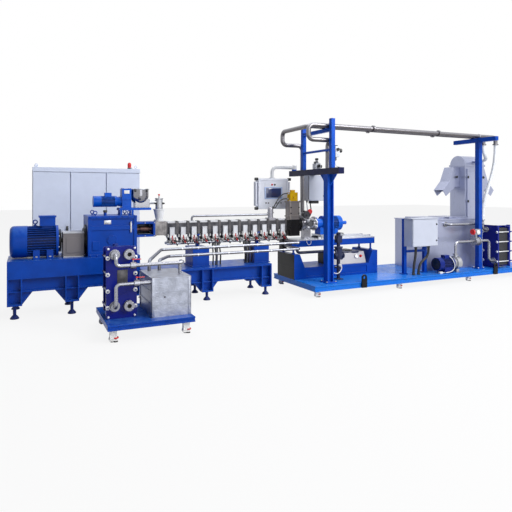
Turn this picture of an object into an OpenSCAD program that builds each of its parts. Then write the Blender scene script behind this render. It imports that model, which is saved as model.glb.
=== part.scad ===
// Plastic compounding machine: a twin-screw extruder line with a tempering cart,
// an underwater pelletizing skid, an electrical cabinet and an operator panel.
// Millimetres, +Z up, floor at z = 0, flow of the melt along +X.

/* [Extruder] */
// Height of the screw axis above the floor
axis_h = 1105; // [1060:5:1160]
// Length of the drive base
base_l = 1715; // [1700:5:1760]
// Depth of the drive base and of the barrel frame
base_w = 700; // [640:10:760]
// Height of the drive base top
base_h = 755; // [735:5:775]
// Height of the flush beam along the top of the drive base
base_beam = 235; // [180:5:280]
// Height of a leg underside over the floor on the drive base
base_foot = 170; // [140:5:200]
// Width of a base leg
leg_w = 180; // [150:5:200]
// Set-back of the webs behind the front of a base
web_in = 90; // [70:5:110]
// Shaft height of the main motor over its feet
motor_sh = 225; // [222:1:240]
// Radius of the main motor over its fins
motor_r = 213; // [195:1:218]
// Length of the finned motor frame
motor_l = 360; // [340:5:380]
// Length of the motor fan cover
fan_l = 216; // [190:2:230]
// Length of the gearbox
gear_l = 675; // [640:5:680]
// Depth of the gearbox
gear_w = 600; // [540:5:640]
// Height of the gearbox
gear_h = 570; // [550:5:590]
// Length of the lantern between gearbox and barrel
lantern_l = 310; // [300:5:330]
// Length of one barrel section
barrel_l = 175; // [168:1:180]
// Number of heated barrel sections
barrel_n = 12; // [12:1:12]
// Half width of a barrel flange
flange_y = 98; // [96:1:104]
// Half height of a barrel flange
flange_z = 100; // [98:1:104]
// Thickness of a barrel flange
flange_t = 21; // [16:1:26]
// Top of the barrel frame
frame_h = 500; // [480:5:520]
// Length of the barrel frame
frame_l = 2060; // [2020:10:2080]
// Height of a leg underside over the floor on the barrel frame
frame_foot = 130; // [110:5:150]
// Diameter of an insulated process pipe
process_d = 42; // [36:1:60]
// Diameter of the vacuum line over the barrels
vacuum_d = 34; // [20:1:40]

/* [Feeder] */
// Height of the feeder rails over the gearbox top
feeder_leg = 70; // [50:5:90]
// Radius of the feeder motor
feeder_r = 80; // [70:1:85]
// Diameter of the round hopper bowl
hopper_d = 273; // [250:1:280]
// Height of the upright rim over the round bottom of the hopper bowl
hopper_rim = 100; // [80:2:120]
// Wall of the hopper
hopper_wall = 8; // [5:1:12]

/* [Tempering cart] */
// Length of the cart platform
cart_l = 995; // [960:5:1040]
// Depth of the cart platform
cart_w = 980; // [940:5:1000]
// Thickness of the cart platform
cart_t = 60; // [50:5:80]
// Height of a cart castor
cart_castor_h = 140; // [120:5:160]
// Width of a heat exchanger plate
plate_w = 350; // [330:5:360]
// Height of a heat exchanger plate
plate_h = 830; // [800:5:850]
// Thickness of the frame plates of a heat exchanger
plate_t = 30; // [24:1:36]
// Length of the plate pack on the cart
cart_pack = 240; // [200:5:270]
// Length of the plate pack on the skid
skid_pack = 290; // [250:5:300]
// Bore radius of an open exchanger port
port_r = 25; // [20:1:30]
// Width of the insulated tank on the cart
tank_w = 460; // [420:5:470]
// Depth of the insulated tank on the cart
tank_d = 660; // [600:5:680]
// Height of the insulated tank on the cart
tank_h = 460; // [430:5:470]

/* [Pelletizing skid] */
// Length of the skid
skid_l = 5200; // [5160:10:5300]
// Depth of the skid
skid_w = 1410; // [1390:5:1450]
// Thickness of the skid platform
skid_t = 90; // [80:2:100]
// Height of a skid castor
skid_castor_h = 100; // [90:2:110]
// Length of the pelletizer bed and its rail table
bed_l = 1750; // [1720:10:1800]
// Depth of the pelletizer bed
bed_w = 600; // [560:5:620]
// Height of the low middle of the bed
bed_h = 192; // [170:2:210]
// Height of the raised bed ends over the low middle
horn_h = 226; // [200:2:240]
// Depth of the rail table
table_w = 440; // [420:5:460]
// Height of the side plates of the rail table
table_t = 125; // [110:1:140]
// Top of the rail table
table_h = 850; // [830:2:860]
// Radius of the cutter motor
cutter_r = 135; // [115:1:138]
// Section of the front mast column
mast_s = 120; // [100:5:130]
// Underside of the cross-beam on the front mast
beam_z = 1956; // [1930:2:1980]
// Section of the cross-beam on the front mast
beam_s = 100; // [90:2:110]
// Height of the axis of the overhead pipes
rack_z = 2748; // [2720:2:2780]
// Diameter of the overhead pipes
rack_d = 76; // [60:1:84]
// Bend radius of the overhead pipes
rack_r = 88; // [80:1:92]
// Length of the water tank
water_l = 1375; // [1300:5:1400]
// Depth of the water tank
water_w = 870; // [800:5:900]
// Height of the water tank
water_h = 940; // [900:5:960]
// Wall of the water tank
water_wall = 12; // [6:1:16]
// Width of the dryer
dryer_w = 560; // [520:5:580]
// Depth of the dryer
dryer_d = 390; // [360:5:400]
// Height of the dryer up to its arched top
dryer_h = 2045; // [2000:5:2060]
// Diameter of the pump pipes
pump_d = 50; // [40:1:56]
// Diameter of the two flexible hoses
hose_d = 66; // [50:1:70]

/* [Cabinet and panel] */
// Width of the cabinet
cab_w = 1800; // [1740:10:1860]
// Depth of the cabinet
cab_d = 600; // [500:10:640]
// Height of the cabinet
cab_h = 2090; // [2000:10:2150]
// Wall of the cabinet
cab_wall = 20; // [14:1:25]
// Height of the cabinet plinth
plinth_h = 100; // [90:2:120]
// Thickness of a cabinet door
door_t = 25; // [23:1:28]
// Width of the operator panel
panel_w = 600; // [560:5:600]
// Height of the operator panel
panel_h = 550; // [500:5:555]
// Depth of the operator panel
panel_d = 120; // [90:2:130]
// Diameter of the panel arm
arm_d = 60; // [50:1:66]

/* [Clearances] */
// Radial play of a hinge pin in its bore
pin_play = 0.08; // [0.05:0.01:0.1]
// Gap under a sliding or turning piece
run_gap = 0.3; // [0.2:0.1:0.5]
// Gap between neighbouring doors and round each door
door_gap = 14; // [13:1:18]

/* [Hidden] */
$fn = 48;

// Places along the line, from the left end of the drive base; y = 0 is the screw axis.
motor_x = 24;
frame_x = motor_x + fan_l;
guard_x = 690;
guard_l = 275;
guard_h = 330;
guard_w = 360;
gear_x = 1005;
lantern_x = gear_x + gear_l;
feed_x = lantern_x + lantern_l;
train_x = feed_x + barrel_l;
train_end = train_x + barrel_n * barrel_l;
core_y = 75;
core_z = 80;
cover_t = 26;
feed_top = axis_h + 110;
motor_z = base_h + motor_sh;
gear_top = base_h + gear_h;
base_legs = [leg_w / 2, 795, base_l - leg_w / 2];
barrel_frame_x = base_l + 75;
frame_legs = [leg_w / 2, 960, frame_l - leg_w / 2];
web_t = 20;
vent_i = 10;
vent_x = train_x + (vent_i + 0.5) * barrel_l;
vent_top = axis_h + 200;
drop_x = [train_end - 62, train_end + 22];
drop_y = 60;
drop_z = 650;
pedestal_joints = [3, 9];
manifold_z = axis_h - 235;
manifold_y = 60;
manifold_d = 42;
manifold_x = train_x + 20;
manifold_gap = 5;
manifold_end = drop_x[0] - manifold_gap;
valve_z = axis_h - 196;
valve_s = 46;
process_y = -600;
process_z = [845, 745];
// Feeder
rail_z = gear_top + feeder_leg;
rail_t = 35;
feeder_z = rail_z + rail_t;
reducer_x = 1506;
reducer_l = 135;
hopper_x = reducer_x + reducer_l;
hopper_mid = hopper_x + hopper_d / 2;
hopper_z = feeder_z + 180;
feed_tube_z = feeder_z + 78;
chute_x = feed_x + barrel_l / 2;
// Tempering cart
cart_x = 1030;
cart_y = -1950;
cart_top = cart_castor_h + cart_t;
cart_hx = [cart_x + 200, cart_y + 300];
port_dx = 80;
port_z = [143, 739];
port_l = 58;
cart_pipe_d = 42;
cart_pipe_y = cart_hx[1] - 112;
tank_x = cart_x + 520;
tank_y = cart_y + 150;
// Skid
skid_x = 4300;
skid_y = -960;
skid_top = skid_castor_h + skid_t;
lug_w = 100;
lug_t = 22;
lug_rise = skid_t + 75;
lug_x = [[935, skid_l - 1165], [bed_l + 300, skid_l - 260]];
bed_top = skid_top + bed_h;
horn_top = bed_top + horn_h;
head_x = train_end + 305;
head_r = 105;
head_l = 310;
rail_s = 30;
plate_z = table_h + rail_s + 8;
slide_y = 120;
mast_x = 4700;
mast_y = -730;
beam_top = beam_z + beam_s;
beam_y = [-1090, 510];
upper_s = 70;
upper_y = [-830, 66];
pivot_y = 400;
pivot_r = 22;
rear_x = 8150;
rear_y = -740;
rear_s = 90;
rear_beam = 80;
rear_beam_y = [-1147, -162];
rack_y = [-740, -600];
rack_end = [8620, 8450];
rack_drop = 150;
loop_x = [4310, 4400];
joint_x = [5600, 7100];
riser_x = mast_x + 112;
water_riser_x = mast_x + 95;
loop_z = rack_z - 235;
slurry_y = 300;
outlet_z = axis_h + 45;
outlet_l = 142;
inlet_z = 640;
inlet_l = 80;
valve_x = 5010;
valve_y = -560;
box_x = 6340;
box_y = -900;
box_w = 590;
box_d = 220;
box_h = 488;
box_z = 700;
junction_x = 4625;
water_x = 7010;
water_y = -550;
dryer_x = 8440;
dryer_y = -160;
pump_x = 6960;
pump_y = -820;
pump_z = skid_top + 165;
skid_hx = [8470, -740];
return_y = skid_hx[1] + port_dx;
return_x = 8360;
return_top = 1130;
nozzle_x = dryer_x + 270;
nozzle_z = skid_top + dryer_h + 76;
nozzle_l = 74;
chute_top = skid_top + dryer_h - 45;
chute_d = 250;
// Cabinet and panel
cab_x = 320;
cab_y = 1600;
cab_doors = 3;
door_bay = cab_w / cab_doors;
door_z = plinth_h + 6;
door_h = cab_h - 75 - door_z - 6;
hinge_r = 7;
hinge_in = door_t / 2;
panel_x = 4240;
panel_top = 1912;
arm_z = beam_top + 58;
// Overall box
line_l = skid_x + skid_l;
mid_y = (cart_y + cab_y + cab_d) / 2;

// Moves the line so that the middle of its floor area lies at the origin.
module place() {
    translate([-line_l / 2, -mid_y, 0]) children();
}

function unit(v) = v / norm(v);
function bend_angle(a, b) = acos(max(-1, min(1, a * b)));
function trim(a, b, r) = r * tan(bend_angle(a, b) / 2);

// Round bar from one point to another.
module bar(p, q, d) {
    v = q - p;
    a = acos(v[2] / norm(v));
    translate(p)
        rotate([0, a, atan2(v[1], v[0])])
            cylinder(h = norm(v), d = d);
}

// Part of a ring that joins direction a to direction b at corner p.
module elbow(p, a, b, r, d) {
    t = trim(a, b, r);
    n = unit(b - (a * b) * a);
    c = p - t * a + r * n;
    z = cross(-n, a);
    multmatrix([
        [-n[0], a[0], z[0], c[0]],
        [-n[1], a[1], z[1], c[1]],
        [-n[2], a[2], z[2], c[2]],
        [0, 0, 0, 1]
    ])
        rotate_extrude(angle = bend_angle(a, b))
            translate([r, 0]) circle(d = d);
}

// Pipe along a list of points with round bends at the inner points.
module pipe(pts, d, r) {
    n = len(pts);
    dirs = [for (i = [0:n - 2]) unit(pts[i + 1] - pts[i])];
    for (i = [0:n - 2]) {
        t0 = i == 0 ? 0 : trim(dirs[i - 1], dirs[i], r);
        t1 = i == n - 2 ? 0 : trim(dirs[i], dirs[i + 1], r);
        bar(pts[i] + t0 * dirs[i], pts[i + 1] - t1 * dirs[i], d);
    }
    for (i = [1:1:n - 2]) elbow(pts[i], dirs[i - 1], dirs[i], r, d);
}

// Round collar on a pipe, along a unit direction.
module collar(p, dir, d, t) {
    bar(p - dir * t / 2, p + dir * t / 2, d);
}

// Flat rectangle with round corners.
module round_rect(l, w, r) {
    translate([r, 0]) square([l - 2 * r, w]);
    translate([0, r]) square([l, w - 2 * r]);
    for (x = [r, l - r], y = [r, w - r]) translate([x, y]) circle(r);
}

// Block with upright round edges.
module round_block(size, r) {
    linear_extrude(size[2]) round_rect(size[0], size[1], r);
}

// Cylinder along X.
module x_cyl(x, y, z, r, l) {
    translate([x, y, z]) rotate([0, 90, 0]) cylinder(h = l, r = r);
}

// Cylinder along Y.
module y_cyl(x, y, z, r, l) {
    translate([x, y, z]) rotate([-90, 0, 0]) cylinder(h = l, r = r);
}

// Lifting eye with its shank, standing on a level face.
module eye(p, r) {
    translate(p) {
        cylinder(h = r, r = r * 0.45);
        translate([0, 0, r * 1.75])
            rotate([90, 0, 0])
                rotate_extrude() translate([r, 0]) circle(r * 0.3);
    }
}

// Outline of a web plate with its legs: length, top, web underside, leg underside.
module web_outline(l, top, web_z, leg_z, legs, gusset) {
    translate([0, web_z]) square([l, top - web_z]);
    for (x = legs)
        polygon([
            [x - leg_w / 2, leg_z], [x + leg_w / 2, leg_z],
            [min(l, x + leg_w / 2 + gusset), web_z + 1], [max(0, x - leg_w / 2 - gusset), web_z + 1]
        ]);
}

// Welded base: top beam, two set-back webs, ribbed legs and foot plates.
module welded_base(l, top, beam, web_z, leg_z, legs, gusset) {
    rib_t = 18;
    sole_t = 22;
    translate([0, -base_w / 2, top - beam]) cube([l, base_w, beam]);
    for (s = [0, 1]) mirror([0, s, 0]) {
        translate([0, -base_w / 2 + web_in + web_t, 0])
            rotate([90, 0, 0])
                linear_extrude(web_t) web_outline(l, top - beam / 2, web_z, leg_z, legs, gusset);
        translate([0, -base_w / 2 + web_in - 45, web_z]) cube([l, 50, 16]);
        for (x = legs) {
            for (e = [-leg_w / 2, leg_w / 2 - rib_t])
                translate([x + e, -base_w / 2, leg_z]) cube([rib_t, web_in + 5, top - beam / 2 - leg_z]);
            translate([x - leg_w / 2, -base_w / 2, leg_z]) cube([leg_w, web_in + web_t, sole_t]);
        }
    }
    for (x = legs)
        translate([x - web_t / 2, -base_w / 2 + web_in, web_z])
            cube([web_t, base_w - 2 * web_in, top - beam / 2 - web_z]);
}

module drive_base() {
    color("royalblue") place()
        welded_base(base_l, base_h, base_beam, 340, base_foot, base_legs, 130);
}

module barrel_frame() {
    color("royalblue") place() translate([barrel_frame_x, 0, 0])
        welded_base(frame_l, frame_h, 28, 270, frame_foot, frame_legs, 110);
}

// Levelling foot with a round pad, a hexagon nut and a screw.
module foot(p, h) {
    translate(p) {
        cylinder(h = 14, r = 55);
        translate([0, 0, 14]) cylinder(h = 20, r1 = 46, r2 = 20);
        cylinder(h = h, r = 14);
        translate([0, 0, h - 18]) cylinder(h = 18, r = 26, $fn = 6);
    }
}

module levelling_feet() {
    foot_y = base_w / 2 - (web_in + web_t) / 2;
    color("midnightblue") place() for (s = [-1, 1]) {
        for (x = base_legs) foot([x, s * foot_y, 0], base_foot);
        for (x = frame_legs) foot([barrel_frame_x + x, s * foot_y, 0], frame_foot);
    }
}

// Ribbed motor outline seen along its shaft.
module fin_outline(r, fins, depth) {
    circle(r - depth);
    for (i = [0:fins - 1])
        rotate(i * 360 / fins) translate([0, -2.5]) square([r, 5]);
}

// Ribbed motor frame along X.
module fin_body(p, l, r, fins, depth) {
    translate(p) rotate([0, 90, 0]) linear_extrude(l) fin_outline(r, fins, depth);
}

module main_motor() {
    foot_x = frame_x + 70;
    box_x0 = frame_x + 155;
    box_z0 = motor_z + motor_r;
    color("royalblue") place() {
        fin_body([frame_x, 0, motor_z], motor_l, motor_r, 36, 26);
        x_cyl(frame_x + motor_l, 0, motor_z, motor_r + 4, 34);
        x_cyl(frame_x + motor_l + 34, 0, motor_z, motor_r - 55, 36);
        x_cyl(frame_x + motor_l + 70, 0, motor_z, 32, guard_x - frame_x - motor_l - 70);
        for (s = [0, 1], dx = [0, 170]) mirror([0, s, 0]) translate([foot_x + dx, -216, base_h]) {
            cube([84, 100, 24]);
            translate([0, 34, 0]) cube([84, 60, 120]);
        }
        translate([box_x0 + 30, -80, box_z0 - 40]) cube([140, 160, 50]);
        translate([box_x0, -105, box_z0]) cube([200, 210, 118]);
        translate([box_x0 - 12, -118, box_z0 + 118]) cube([224, 236, 24]);
        translate([frame_x + 100, 0, motor_z + motor_r - 30]) cylinder(h = 40, r = 26);
        eye([frame_x + 100, 0, motor_z + motor_r + 8], 26);
    }
}

module motor_fan_cover() {
    edge = 58;
    r = motor_r + 5;
    color("royalblue") place() difference() {
        translate([frame_x, 0, motor_z]) rotate([0, -90, 0]) rotate_extrude() {
            square([r, fan_l - edge]);
            square([r - edge, fan_l]);
            translate([r - edge, fan_l - edge]) circle(edge);
        }
        for (q = [50:26:r - edge - 20]) translate([motor_x - 1, 0, motor_z]) rotate([0, 90, 0])
            difference() {
                cylinder(h = 9, r = q + 12);
                translate([0, 0, -1]) cylinder(h = 11, r = q);
            }
    }
}

module coupling_guard() {
    lid_t = 14;
    color("lightgrey") place() {
        translate([guard_x, -guard_w / 2, base_h]) cube([guard_l, guard_w, guard_h]);
        translate([guard_x, -guard_w / 2 - 8, base_h + guard_h]) cube([guard_l, guard_w + 16, lid_t]);
        for (s = [0, 1]) mirror([0, s, 0]) {
            translate([guard_x, -guard_w / 2 - 26, base_h]) cube([guard_l, 30, 8]);
            translate([guard_x + 40, -guard_w / 2 - 6, base_h + 60]) cube([guard_l - 80, 10, guard_h - 120]);
        }
    }
}

module gearbox() {
    cap_x = guard_x + guard_l;
    rim = 14;
    color("royalblue") place() {
        difference() {
            translate([gear_x, -gear_w / 2, base_h]) cube([gear_l, gear_w, gear_h]);
            for (s = [0, 1]) mirror([0, s, 0]) {
                translate([gear_x + 42, -gear_w / 2 - 1, base_h + gear_h - 140])
                    cube([gear_l - 84, rim + 1, 92]);
                translate([gear_x + 42, -gear_w / 2 - 1, base_h + 70])
                    cube([gear_l - 84, rim + 1, gear_h - 270]);
            }
        }
        for (s = [0, 1]) mirror([0, s, 0]) {
            translate([gear_x, -gear_w / 2 - 12, base_h]) cube([gear_l, 20, 34]);
            translate([gear_x, -gear_w / 2 - 10, gear_top - 34]) cube([gear_l, 20, 34]);
            y_cyl(gear_x + 330, -gear_w / 2 + 4, base_h + 225, 72, 14);
            translate([gear_x + 60, -gear_w / 2 + 4, base_h + 90]) cube([92, 14, 122]);
            translate([gear_x + gear_l - 100, -gear_w / 2 - 4, base_h + 330]) cube([30, 10, 150]);
        }
        x_cyl(cap_x, 0, motor_z, 165, gear_x - cap_x + 1);
        x_cyl(gear_x - 18, 0, motor_z, 215, 19);
        for (x = [gear_x + 110, gear_x + gear_l - 90], y = [-180, 180]) eye([x, y, gear_top], 24);
        translate([gear_x + 250, -150, gear_top]) cylinder(h = 42, r = 22);
    }
}

module lantern() {
    half_y = 128;
    half_z = 112;
    wall = 30;
    color("royalblue") place() {
        difference() {
            translate([lantern_x, -half_y, axis_h - half_z]) cube([lantern_l, 2 * half_y, 2 * half_z]);
            translate([lantern_x + wall, -half_y - 1, axis_h - half_z + wall])
                cube([lantern_l - 2 * wall, 2 * half_y + 2, 2 * half_z - 2 * wall]);
        }
        for (y = [-40, 40]) {
            x_cyl(lantern_x + wall - 1, y, axis_h, 26, lantern_l - 2 * wall + 2);
            x_cyl(lantern_x + lantern_l / 2 - 60, y, axis_h, 36, 120);
        }
    }
}

module feed_barrel() {
    color("dimgray") place() {
        translate([feed_x, -100, axis_h - flange_z]) cube([barrel_l, 200, feed_top - axis_h + flange_z]);
        for (x = [feed_x, train_x - flange_t])
            translate([x, -flange_y - 12, axis_h - flange_z - 8])
                cube([flange_t, 2 * flange_y + 24, 2 * flange_z + 16]);
    }
}

// One heated barrel section: waisted core between two bolted flanges.
module barrel_section(x) {
    translate([x, -core_y, axis_h - core_z]) cube([barrel_l, 2 * core_y, 2 * core_z]);
    for (e = [0, barrel_l - flange_t])
        difference() {
            translate([x + e, -flange_y, axis_h - flange_z]) cube([flange_t, 2 * flange_y, 2 * flange_z]);
            for (s = [-1, 1], h = [-1, 1])
                translate([x + e - 1, s * flange_y - 9, axis_h + h * flange_z - 9])
                    cube([flange_t + 2, 18, 18]);
        }
}

module barrel_train() {
    color("dimgray") place() for (i = [0:barrel_n - 1]) barrel_section(train_x + i * barrel_l);
}

heater_l = barrel_l - 2 * flange_t - 6;
heater_t = 20;

module barrel_heaters() {
    heater_h = 2 * core_z - 8;
    color("darkslategray") place() for (i = [0:barrel_n - 1], s = [0, 1]) mirror([0, s, 0])
        translate([train_x + i * barrel_l + flange_t + 3, -core_y - heater_t, axis_h - heater_h / 2])
            cube([heater_l, heater_t, heater_h]);
}

module barrel_covers() {
    box_w0 = 76;
    box_h0 = 126;
    box_t = 34;
    color("gainsboro") place() for (i = [0:barrel_n - 1]) {
        x0 = train_x + i * barrel_l;
        if (i != vent_i)
            translate([x0 + flange_t + 3, -core_y, axis_h + core_z]) cube([heater_l, 2 * core_y, cover_t]);
        for (s = [0, 1]) mirror([0, s, 0])
            translate([x0 + (barrel_l - box_w0) / 2, -core_y - heater_t - box_t, axis_h - 108])
                difference() {
                    cube([box_w0, box_t, box_h0]);
                    translate([8, -1, 8]) cube([box_w0 - 16, 4, box_h0 - 16]);
                }
    }
}

module barrel_pedestals() {
    box_l = 268;
    box_t = 300;
    neck_y = 30;
    color("royalblue") place() for (k = pedestal_joints) {
        x = train_x + k * barrel_l;
        translate([x - box_l / 2, -200, frame_h]) cube([box_l, 400, box_t]);
        translate([x - box_l / 2 - 14, -215, frame_h]) cube([box_l + 28, 430, 16]);
        translate([x - flange_t, -neck_y, frame_h + box_t])
            cube([2 * flange_t, 2 * neck_y, axis_h - flange_z - frame_h - box_t]);
        translate([x - flange_t, -flange_y + 9, axis_h - flange_z - 18])
            cube([2 * flange_t, 2 * flange_y - 18, 18]);
    }
}

module cooling_manifolds() {
    color("silver") place() for (s = [-1, 1]) {
        x_cyl(manifold_x, s * manifold_y, manifold_z, manifold_d / 2, manifold_end - manifold_x);
        for (i = [0:barrel_n - 1])
            translate([train_x + (i + 0.5) * barrel_l, s * manifold_y, manifold_z])
                cylinder(h = valve_z - manifold_z, r = 9);
    }
}

module cooling_valves() {
    color("black") place() for (i = [0:barrel_n - 1], s = [0, 1]) mirror([0, s, 0])
        translate([train_x + (i + 0.5) * barrel_l, -manifold_y, valve_z]) {
            translate([-valve_s / 2, -valve_s / 2, 0]) cube(valve_s);
            cylinder(h = axis_h - core_z - valve_z, r = 9);
            y_cyl(0, -valve_s / 2 - 48, valve_s / 2, 19, 50);
        }
}

module feeder_frame() {
    rail_l = 470;
    rail_y = 96;
    color("royalblue") place() {
        for (s = [-1, 1])
            translate([reducer_x - 46, s * rail_y - 18, rail_z]) cube([rail_l, 36, rail_t]);
        for (x = [reducer_x - 30, hopper_x + 20, reducer_x + rail_l - 80])
            translate([x, -rail_y, rail_z]) cube([34, 2 * rail_y, rail_t]);
        for (x = [reducer_x - 30, hopper_x], s = [-1, 1])
            translate([x, s * rail_y - 14, gear_top]) cube([28, 28, feeder_leg + 1]);
    }
}

module feeder_drive() {
    axis_z = feeder_z + 96;
    motor_x0 = reducer_x - 400;
    color("royalblue") place() {
        translate([reducer_x, -88, feeder_z]) cube([reducer_l, 176, 284]);
        translate([reducer_x - 8, -96, feeder_z + 120]) cube([reducer_l + 8, 192, 16]);
        x_cyl(motor_x0, 0, axis_z, feeder_r, 110);
        fin_body([motor_x0 + 110, 0, axis_z], 190, feeder_r, 24, 12);
        x_cyl(motor_x0 + 300, 0, axis_z, feeder_r, 34);
        translate([motor_x0 + 334, 0, axis_z]) rotate([0, 90, 0])
            cylinder(h = 66, r1 = feeder_r - 16, r2 = feeder_r - 2);
        translate([motor_x0 + 160, -46, axis_z + feeder_r - 14]) cube([96, 92, 62]);
    }
}

// Bowl with a round bottom and an upright rim, with the middle of its ball at the origin.
module bowl(r, rim) {
    intersection() {
        sphere(r);
        translate([-r, -r, -r]) cube([2 * r, 2 * r, r]);
    }
    cylinder(h = rim, r = r);
}

module feeder_hopper() {
    base_in = 60;
    half_w = 84;
    base_t = 130;
    inner_r = hopper_d / 2 - hopper_wall;
    color("silver") place() translate([hopper_mid, 0, hopper_z]) difference() {
        union() {
            bowl(hopper_d / 2, hopper_rim);
            translate([base_in - hopper_d / 2, -half_w, feeder_z - hopper_z])
                cube([hopper_d - base_in, 2 * half_w, base_t]);
        }
        bowl(inner_r, hopper_rim + 1);
    }
}

module feed_chute() {
    pot_z = feed_top + 188;
    tube_x = hopper_x + hopper_d;
    color("white") place() {
        translate([chute_x, 0, feed_top]) cylinder(h = 26, r = 74);
        translate([chute_x, 0, feed_top + 26]) cylinder(h = 150, r1 = 52, r2 = 84);
        translate([chute_x, 0, feed_top + 176]) cylinder(h = 12, r = 90);
        translate([chute_x, 0, pot_z]) cylinder(h = 156, r = 56);
        translate([chute_x, 0, pot_z + 156]) cylinder(h = 12, r = 64);
        translate([chute_x, 0, pot_z + 168]) cylinder(h = 26, r = 12);
        x_cyl(tube_x, 0, feed_tube_z, 30, chute_x - tube_x);
        x_cyl(tube_x, 0, feed_tube_z, 48, 16);
    }
}

module vacuum_vent() {
    z0 = axis_h + core_z;
    color("silver") place() {
        translate([vent_x - heater_l / 2, -core_y, z0]) cube([heater_l, 2 * core_y, 44]);
        translate([vent_x, 0, z0]) cylinder(h = vent_top - z0, r = 44);
        translate([vent_x, 0, vent_top]) cylinder(h = 16, r = 60);
        translate([vent_x, 0, vent_top + 16]) cylinder(h = 50, r = 48);
        translate([vent_x, 0, vent_top + 66]) intersection() {
            sphere(48);
            translate([-50, -50, 0]) cube(100);
        }
    }
}

module vacuum_line() {
    z1 = axis_h + 178;
    x1 = train_x + 2.5 * barrel_l;
    color("white") place()
        pipe([[x1, 0, axis_h + core_z + cover_t], [x1, 0, z1], [vent_x - 44.2, 0, z1]], vacuum_d, 40);
}

module diverter_valve() {
    body_x = train_end + 65;
    body_l = 215;
    body_z = axis_h - 199;
    body_h = 604;
    color("dimgray") place() {
        translate([train_end, -flange_y, axis_h - flange_z]) cube([66, 2 * flange_y, 2 * flange_z]);
        translate([body_x, -85, body_z]) round_block([body_l, 170, body_h], 30);
        translate([body_x - 12, -97, body_z + 330]) round_block([body_l + 24, 194, 24], 30);
        translate([body_x - 12, -97, body_z + body_h - 24]) round_block([body_l + 24, 194, 24], 30);
        x_cyl(body_x + body_l - 20, 0, axis_h, 100, head_x - body_x - body_l + 20);
        translate([drop_x[0], -drop_y, drop_z])
            cube([drop_x[1] - drop_x[0], 2 * drop_y, axis_h - flange_z - drop_z]);
    }
}

module valve_actuator() {
    act_x = train_end + 95;
    act_z = axis_h + 405;
    color("gold") place() {
        translate([act_x, -55, act_z]) cube([150, 110, 150]);
        translate([act_x + 75, 0, act_z + 150]) cylinder(h = 44, r = 46);
        for (s = [0, 1]) mirror([0, s, 0]) y_cyl(act_x + 75, -80, act_z + 70, 24, 30);
    }
}

module process_pipes() {
    end_x = [tank_x + 90, tank_x + 220];
    end_y = tank_y + tank_d - 110;
    turn_x = [tank_x + 410, tank_x + 510];
    cart_z = tank_h + cart_top;
    px = (drop_x[0] + drop_x[1]) / 2;
    color("silver") place() for (i = [0, 1])
        hose(rounded([
            [px, -drop_y, process_z[i]],
            [px, process_y, process_z[i]],
            [turn_x[i], process_y, process_z[i]],
            [end_x[i], end_y, cart_z + 130],
            [end_x[i], end_y, cart_z]
        ], 80, 7), process_d, 16, [1, -0.4, 0.7]);
}

// Levelling castor: mounting plate, housing, wheel and pad.
module castor(p, h) {
    translate(p) {
        translate([-45, -45, h - 10]) cube([90, 90, 10]);
        translate([-38, -26, 34]) cube([76, 52, h - 34]);
        y_cyl(-14, -20, 36, 33, 40);
        translate([26, 0, 0]) cylinder(h = 16, r = 26);
        translate([26, 0, 10]) cylinder(h = 40, r = 12);
        translate([26, 0, 40]) cylinder(h = 14, r = 30);
    }
}

module castors() {
    skid_n = 4;
    inset = 100;
    color("whitesmoke") place() {
        for (i = [0:skid_n - 1], y = [skid_y + inset, skid_y + skid_w - inset])
            castor([skid_x + inset + i * (skid_l - 2 * inset) / (skid_n - 1), y, 0], skid_castor_h);
        for (x = [cart_x + 70, cart_x + cart_l - 90], y = [cart_y + 80, cart_y + cart_w - 80])
            castor([x, y, 0], cart_castor_h);
    }
}

module cart_platform() {
    lip = 12;
    color("midnightblue") place() difference() {
        translate([cart_x, cart_y, cart_castor_h]) cube([cart_l, cart_w, cart_t]);
        for (s = [0, 1])
            translate([cart_x - 1, s == 0 ? cart_y - 1 : cart_y + cart_w - lip, cart_castor_h + 14])
                cube([cart_l + 2, lip + 1, cart_t - 28]);
    }
}

// Frame plate, pressure plate, column, guide bars and tie rods of a plate heat exchanger;
// the plates stand across local +Y, with the frame plate at y = 0.
module exchanger_frame(z0, pack, tail) {
    back = plate_t + pack;
    rod_r = 9;
    translate([-plate_w / 2, 0, z0]) round_block_y([plate_w, plate_t, plate_h], 22);
    translate([-plate_w / 2 + 8, back, z0 + 40]) round_block_y([plate_w - 16, plate_t, plate_h - 60], 22);
    translate([-30, back + tail, z0]) cube([60, 40, plate_h - 6]);
    translate([-18, plate_t - 1, z0 + plate_h - 44]) cube([36, pack + 2, 30]);
    translate([-18, back + plate_t - 1, z0 + plate_h - 44]) cube([36, tail - plate_t + 2, 30]);
    translate([-18, plate_t - 1, z0 + 8]) cube([36, back + tail - plate_t + 2, 24]);
    for (s = [-1, 1], k = [0:3])
        translate([0, 0, z0 + 130 + k * (plate_h - 260) / 3]) {
            y_cyl(s * (plate_w / 2 - 18), -26, 0, rod_r, back + plate_t + 110);
            y_cyl(s * (plate_w / 2 - 18), -16, 0, 17, 17);
            y_cyl(s * (plate_w / 2 - 18), back + plate_t - 1, 0, 17, 30);
        }
}

// Upright plate with round corners, thin along Y.
module round_block_y(size, r) {
    translate([0, size[1], 0]) rotate([90, 0, 0]) linear_extrude(size[1]) round_rect(size[0], size[2], r);
}

module on_cart_hx() {
    translate([cart_hx[0], cart_hx[1], 0]) children();
}

// The skid exchanger faces the drive end: its local +Y points along +X.
module on_skid_hx() {
    translate([skid_hx[0], skid_hx[1], 0]) rotate(-90) children();
}

module exchanger_frames() {
    color("navy") place() {
        on_cart_hx() exchanger_frame(cart_top, cart_pack, 150);
        on_skid_hx() exchanger_frame(skid_top, skid_pack, 180);
    }
}

// Stack of thin pressed plates between the frame and pressure plates.
module exchanger_pack(z0, pack) {
    half = plate_w / 2 - 38;
    translate([-half, plate_t, z0 + 56]) cube([2 * half, pack, plate_h - 112]);
}

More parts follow.
